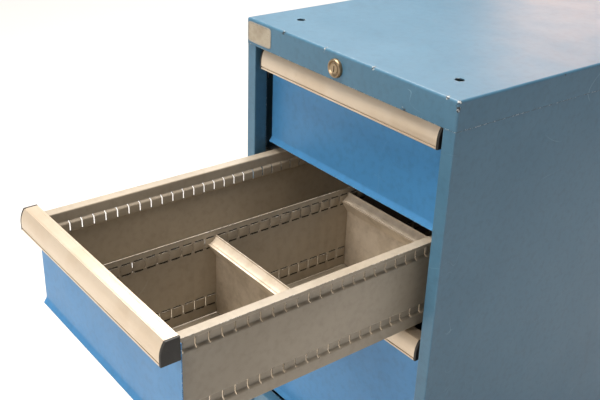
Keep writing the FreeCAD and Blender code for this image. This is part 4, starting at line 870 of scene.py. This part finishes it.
# Room: pale floor, a sky that is brighter near the horizon, and soft light.
room = {"floor": 40.0, "pale": "#D6D6D6", "horizon": 0.80, "zenith": 0.12, "sun": 2.0, "top": 118.0,
        "front": 138.0, "left": 165.0, "glow": 17.0, "sunSpread": 32, "rough": 0.9, "sky": "#E4ECFA",
        "skyLow": 0.02, "skyHigh": 0.20}

u = np.linspace(-1, 1, 5)
across, back = np.meshgrid(u * room["floor"], u * room["floor"])
floorPoints = np.stack([across, back, np.zeros((5, 5))], -1).reshape(-1, 3)
floorMesh = bpy.data.meshes.new("floor")
floorMesh.from_pydata(floorPoints.tolist(), [], gridQuads(5, 5).tolist())
floorFinish, _ = startFinish("palePaintedFloor")
finishWith(floorFinish, {"Base Color": linear(room["pale"]), "Roughness": room["rough"]})
floorMesh.materials.append(floorFinish)
floor = bpy.data.objects.new("floor", floorMesh)
scene.collection.objects.link(floor)

world = bpy.data.worlds.new("studio")
world.use_nodes = True
sky = world.node_tree
background = sky.nodes["Background"]
up = addNode(sky, "SeparateXYZ", links={0: addNode(sky, "TexCoord", out="Generated")}, out=2)
levels = {1: room["skyLow"], 2: room["skyHigh"], 3: room["horizon"], 4: room["zenith"]}
background.inputs["Color"].default_value = linear(room["sky"])
sky.links.new(addNode(sky, "MapRange", {**eased, **levels}, {0: up}), background.inputs["Strength"])
scene.world = world


def addLight(name, place, aim, size, power, colour):
    lamp = bpy.data.lights.new(name, "AREA")
    lamp.shape = "RECTANGLE"
    lamp.size, lamp.size_y = size
    lamp.energy = power
    lamp.color = linear(colour)[:3]
    holder = bpy.data.objects.new(name, lamp)
    holder.location = place
    direction = np.array(aim) - np.array(place)
    yaw = math.atan2(direction[1], direction[0])
    tilt = math.atan2(np.hypot(direction[0], direction[1]), -direction[2])
    holder.rotation_euler = (tilt, 0, yaw - math.pi / 2)
    scene.collection.objects.link(holder)


addLight("topSoftbox", (-0.25, -0.60, 3.4), (-0.2, -0.45, 0.8), (2.2, 2.2), room["top"], "#FFF4E8")
addLight("frontSoftbox", (0.3, -5.0, 2.6), (0, -0.3, 0.6), (2.6, 2.2), room["front"], "#FFF4E8")
addLight("leftSoftbox", (-3.6, 2.4, 4.6), (-0.6, 0.4, 0.8), (2.4, 2.4), room["left"], "#FFFFFF")
addLight("warmGlow", (-2.47, 3.72, 1.89), (0.01, 0.12, 0.86), (1.0, 0.6), room["glow"], "#FFC49A")
ceiling = bpy.data.lights.new("ceilingGlow", "SUN")
ceiling.energy = room["sun"]
ceiling.angle = math.radians(room["sunSpread"])
ceiling.color = linear("#FFF8EE")[:3]
ceilingHolder = bpy.data.objects.new("ceilingGlow", ceiling)
ceilingHolder.rotation_euler = [math.radians(angle) for angle in (12, -17, 0)]
scene.collection.objects.link(ceilingHolder)

camera = bpy.data.objects.new("camera", bpy.data.cameras.new("camera"))
camera.data.lens = 54.574
camera.data.sensor_width = 36.0
camera.data.sensor_fit = "HORIZONTAL"
camera.data.clip_end = 60.0
camera.data.dof.use_dof = False
camera.location = (0.84276, -1.08681, 1.19889)
camera.rotation_euler = [math.radians(angle) for angle in (63.578, -1.786, 52.467)]
scene.collection.objects.link(camera)
scene.camera = camera
scene.view_settings.view_transform = "Standard"
scene.view_settings.look = "None"
print("room made")
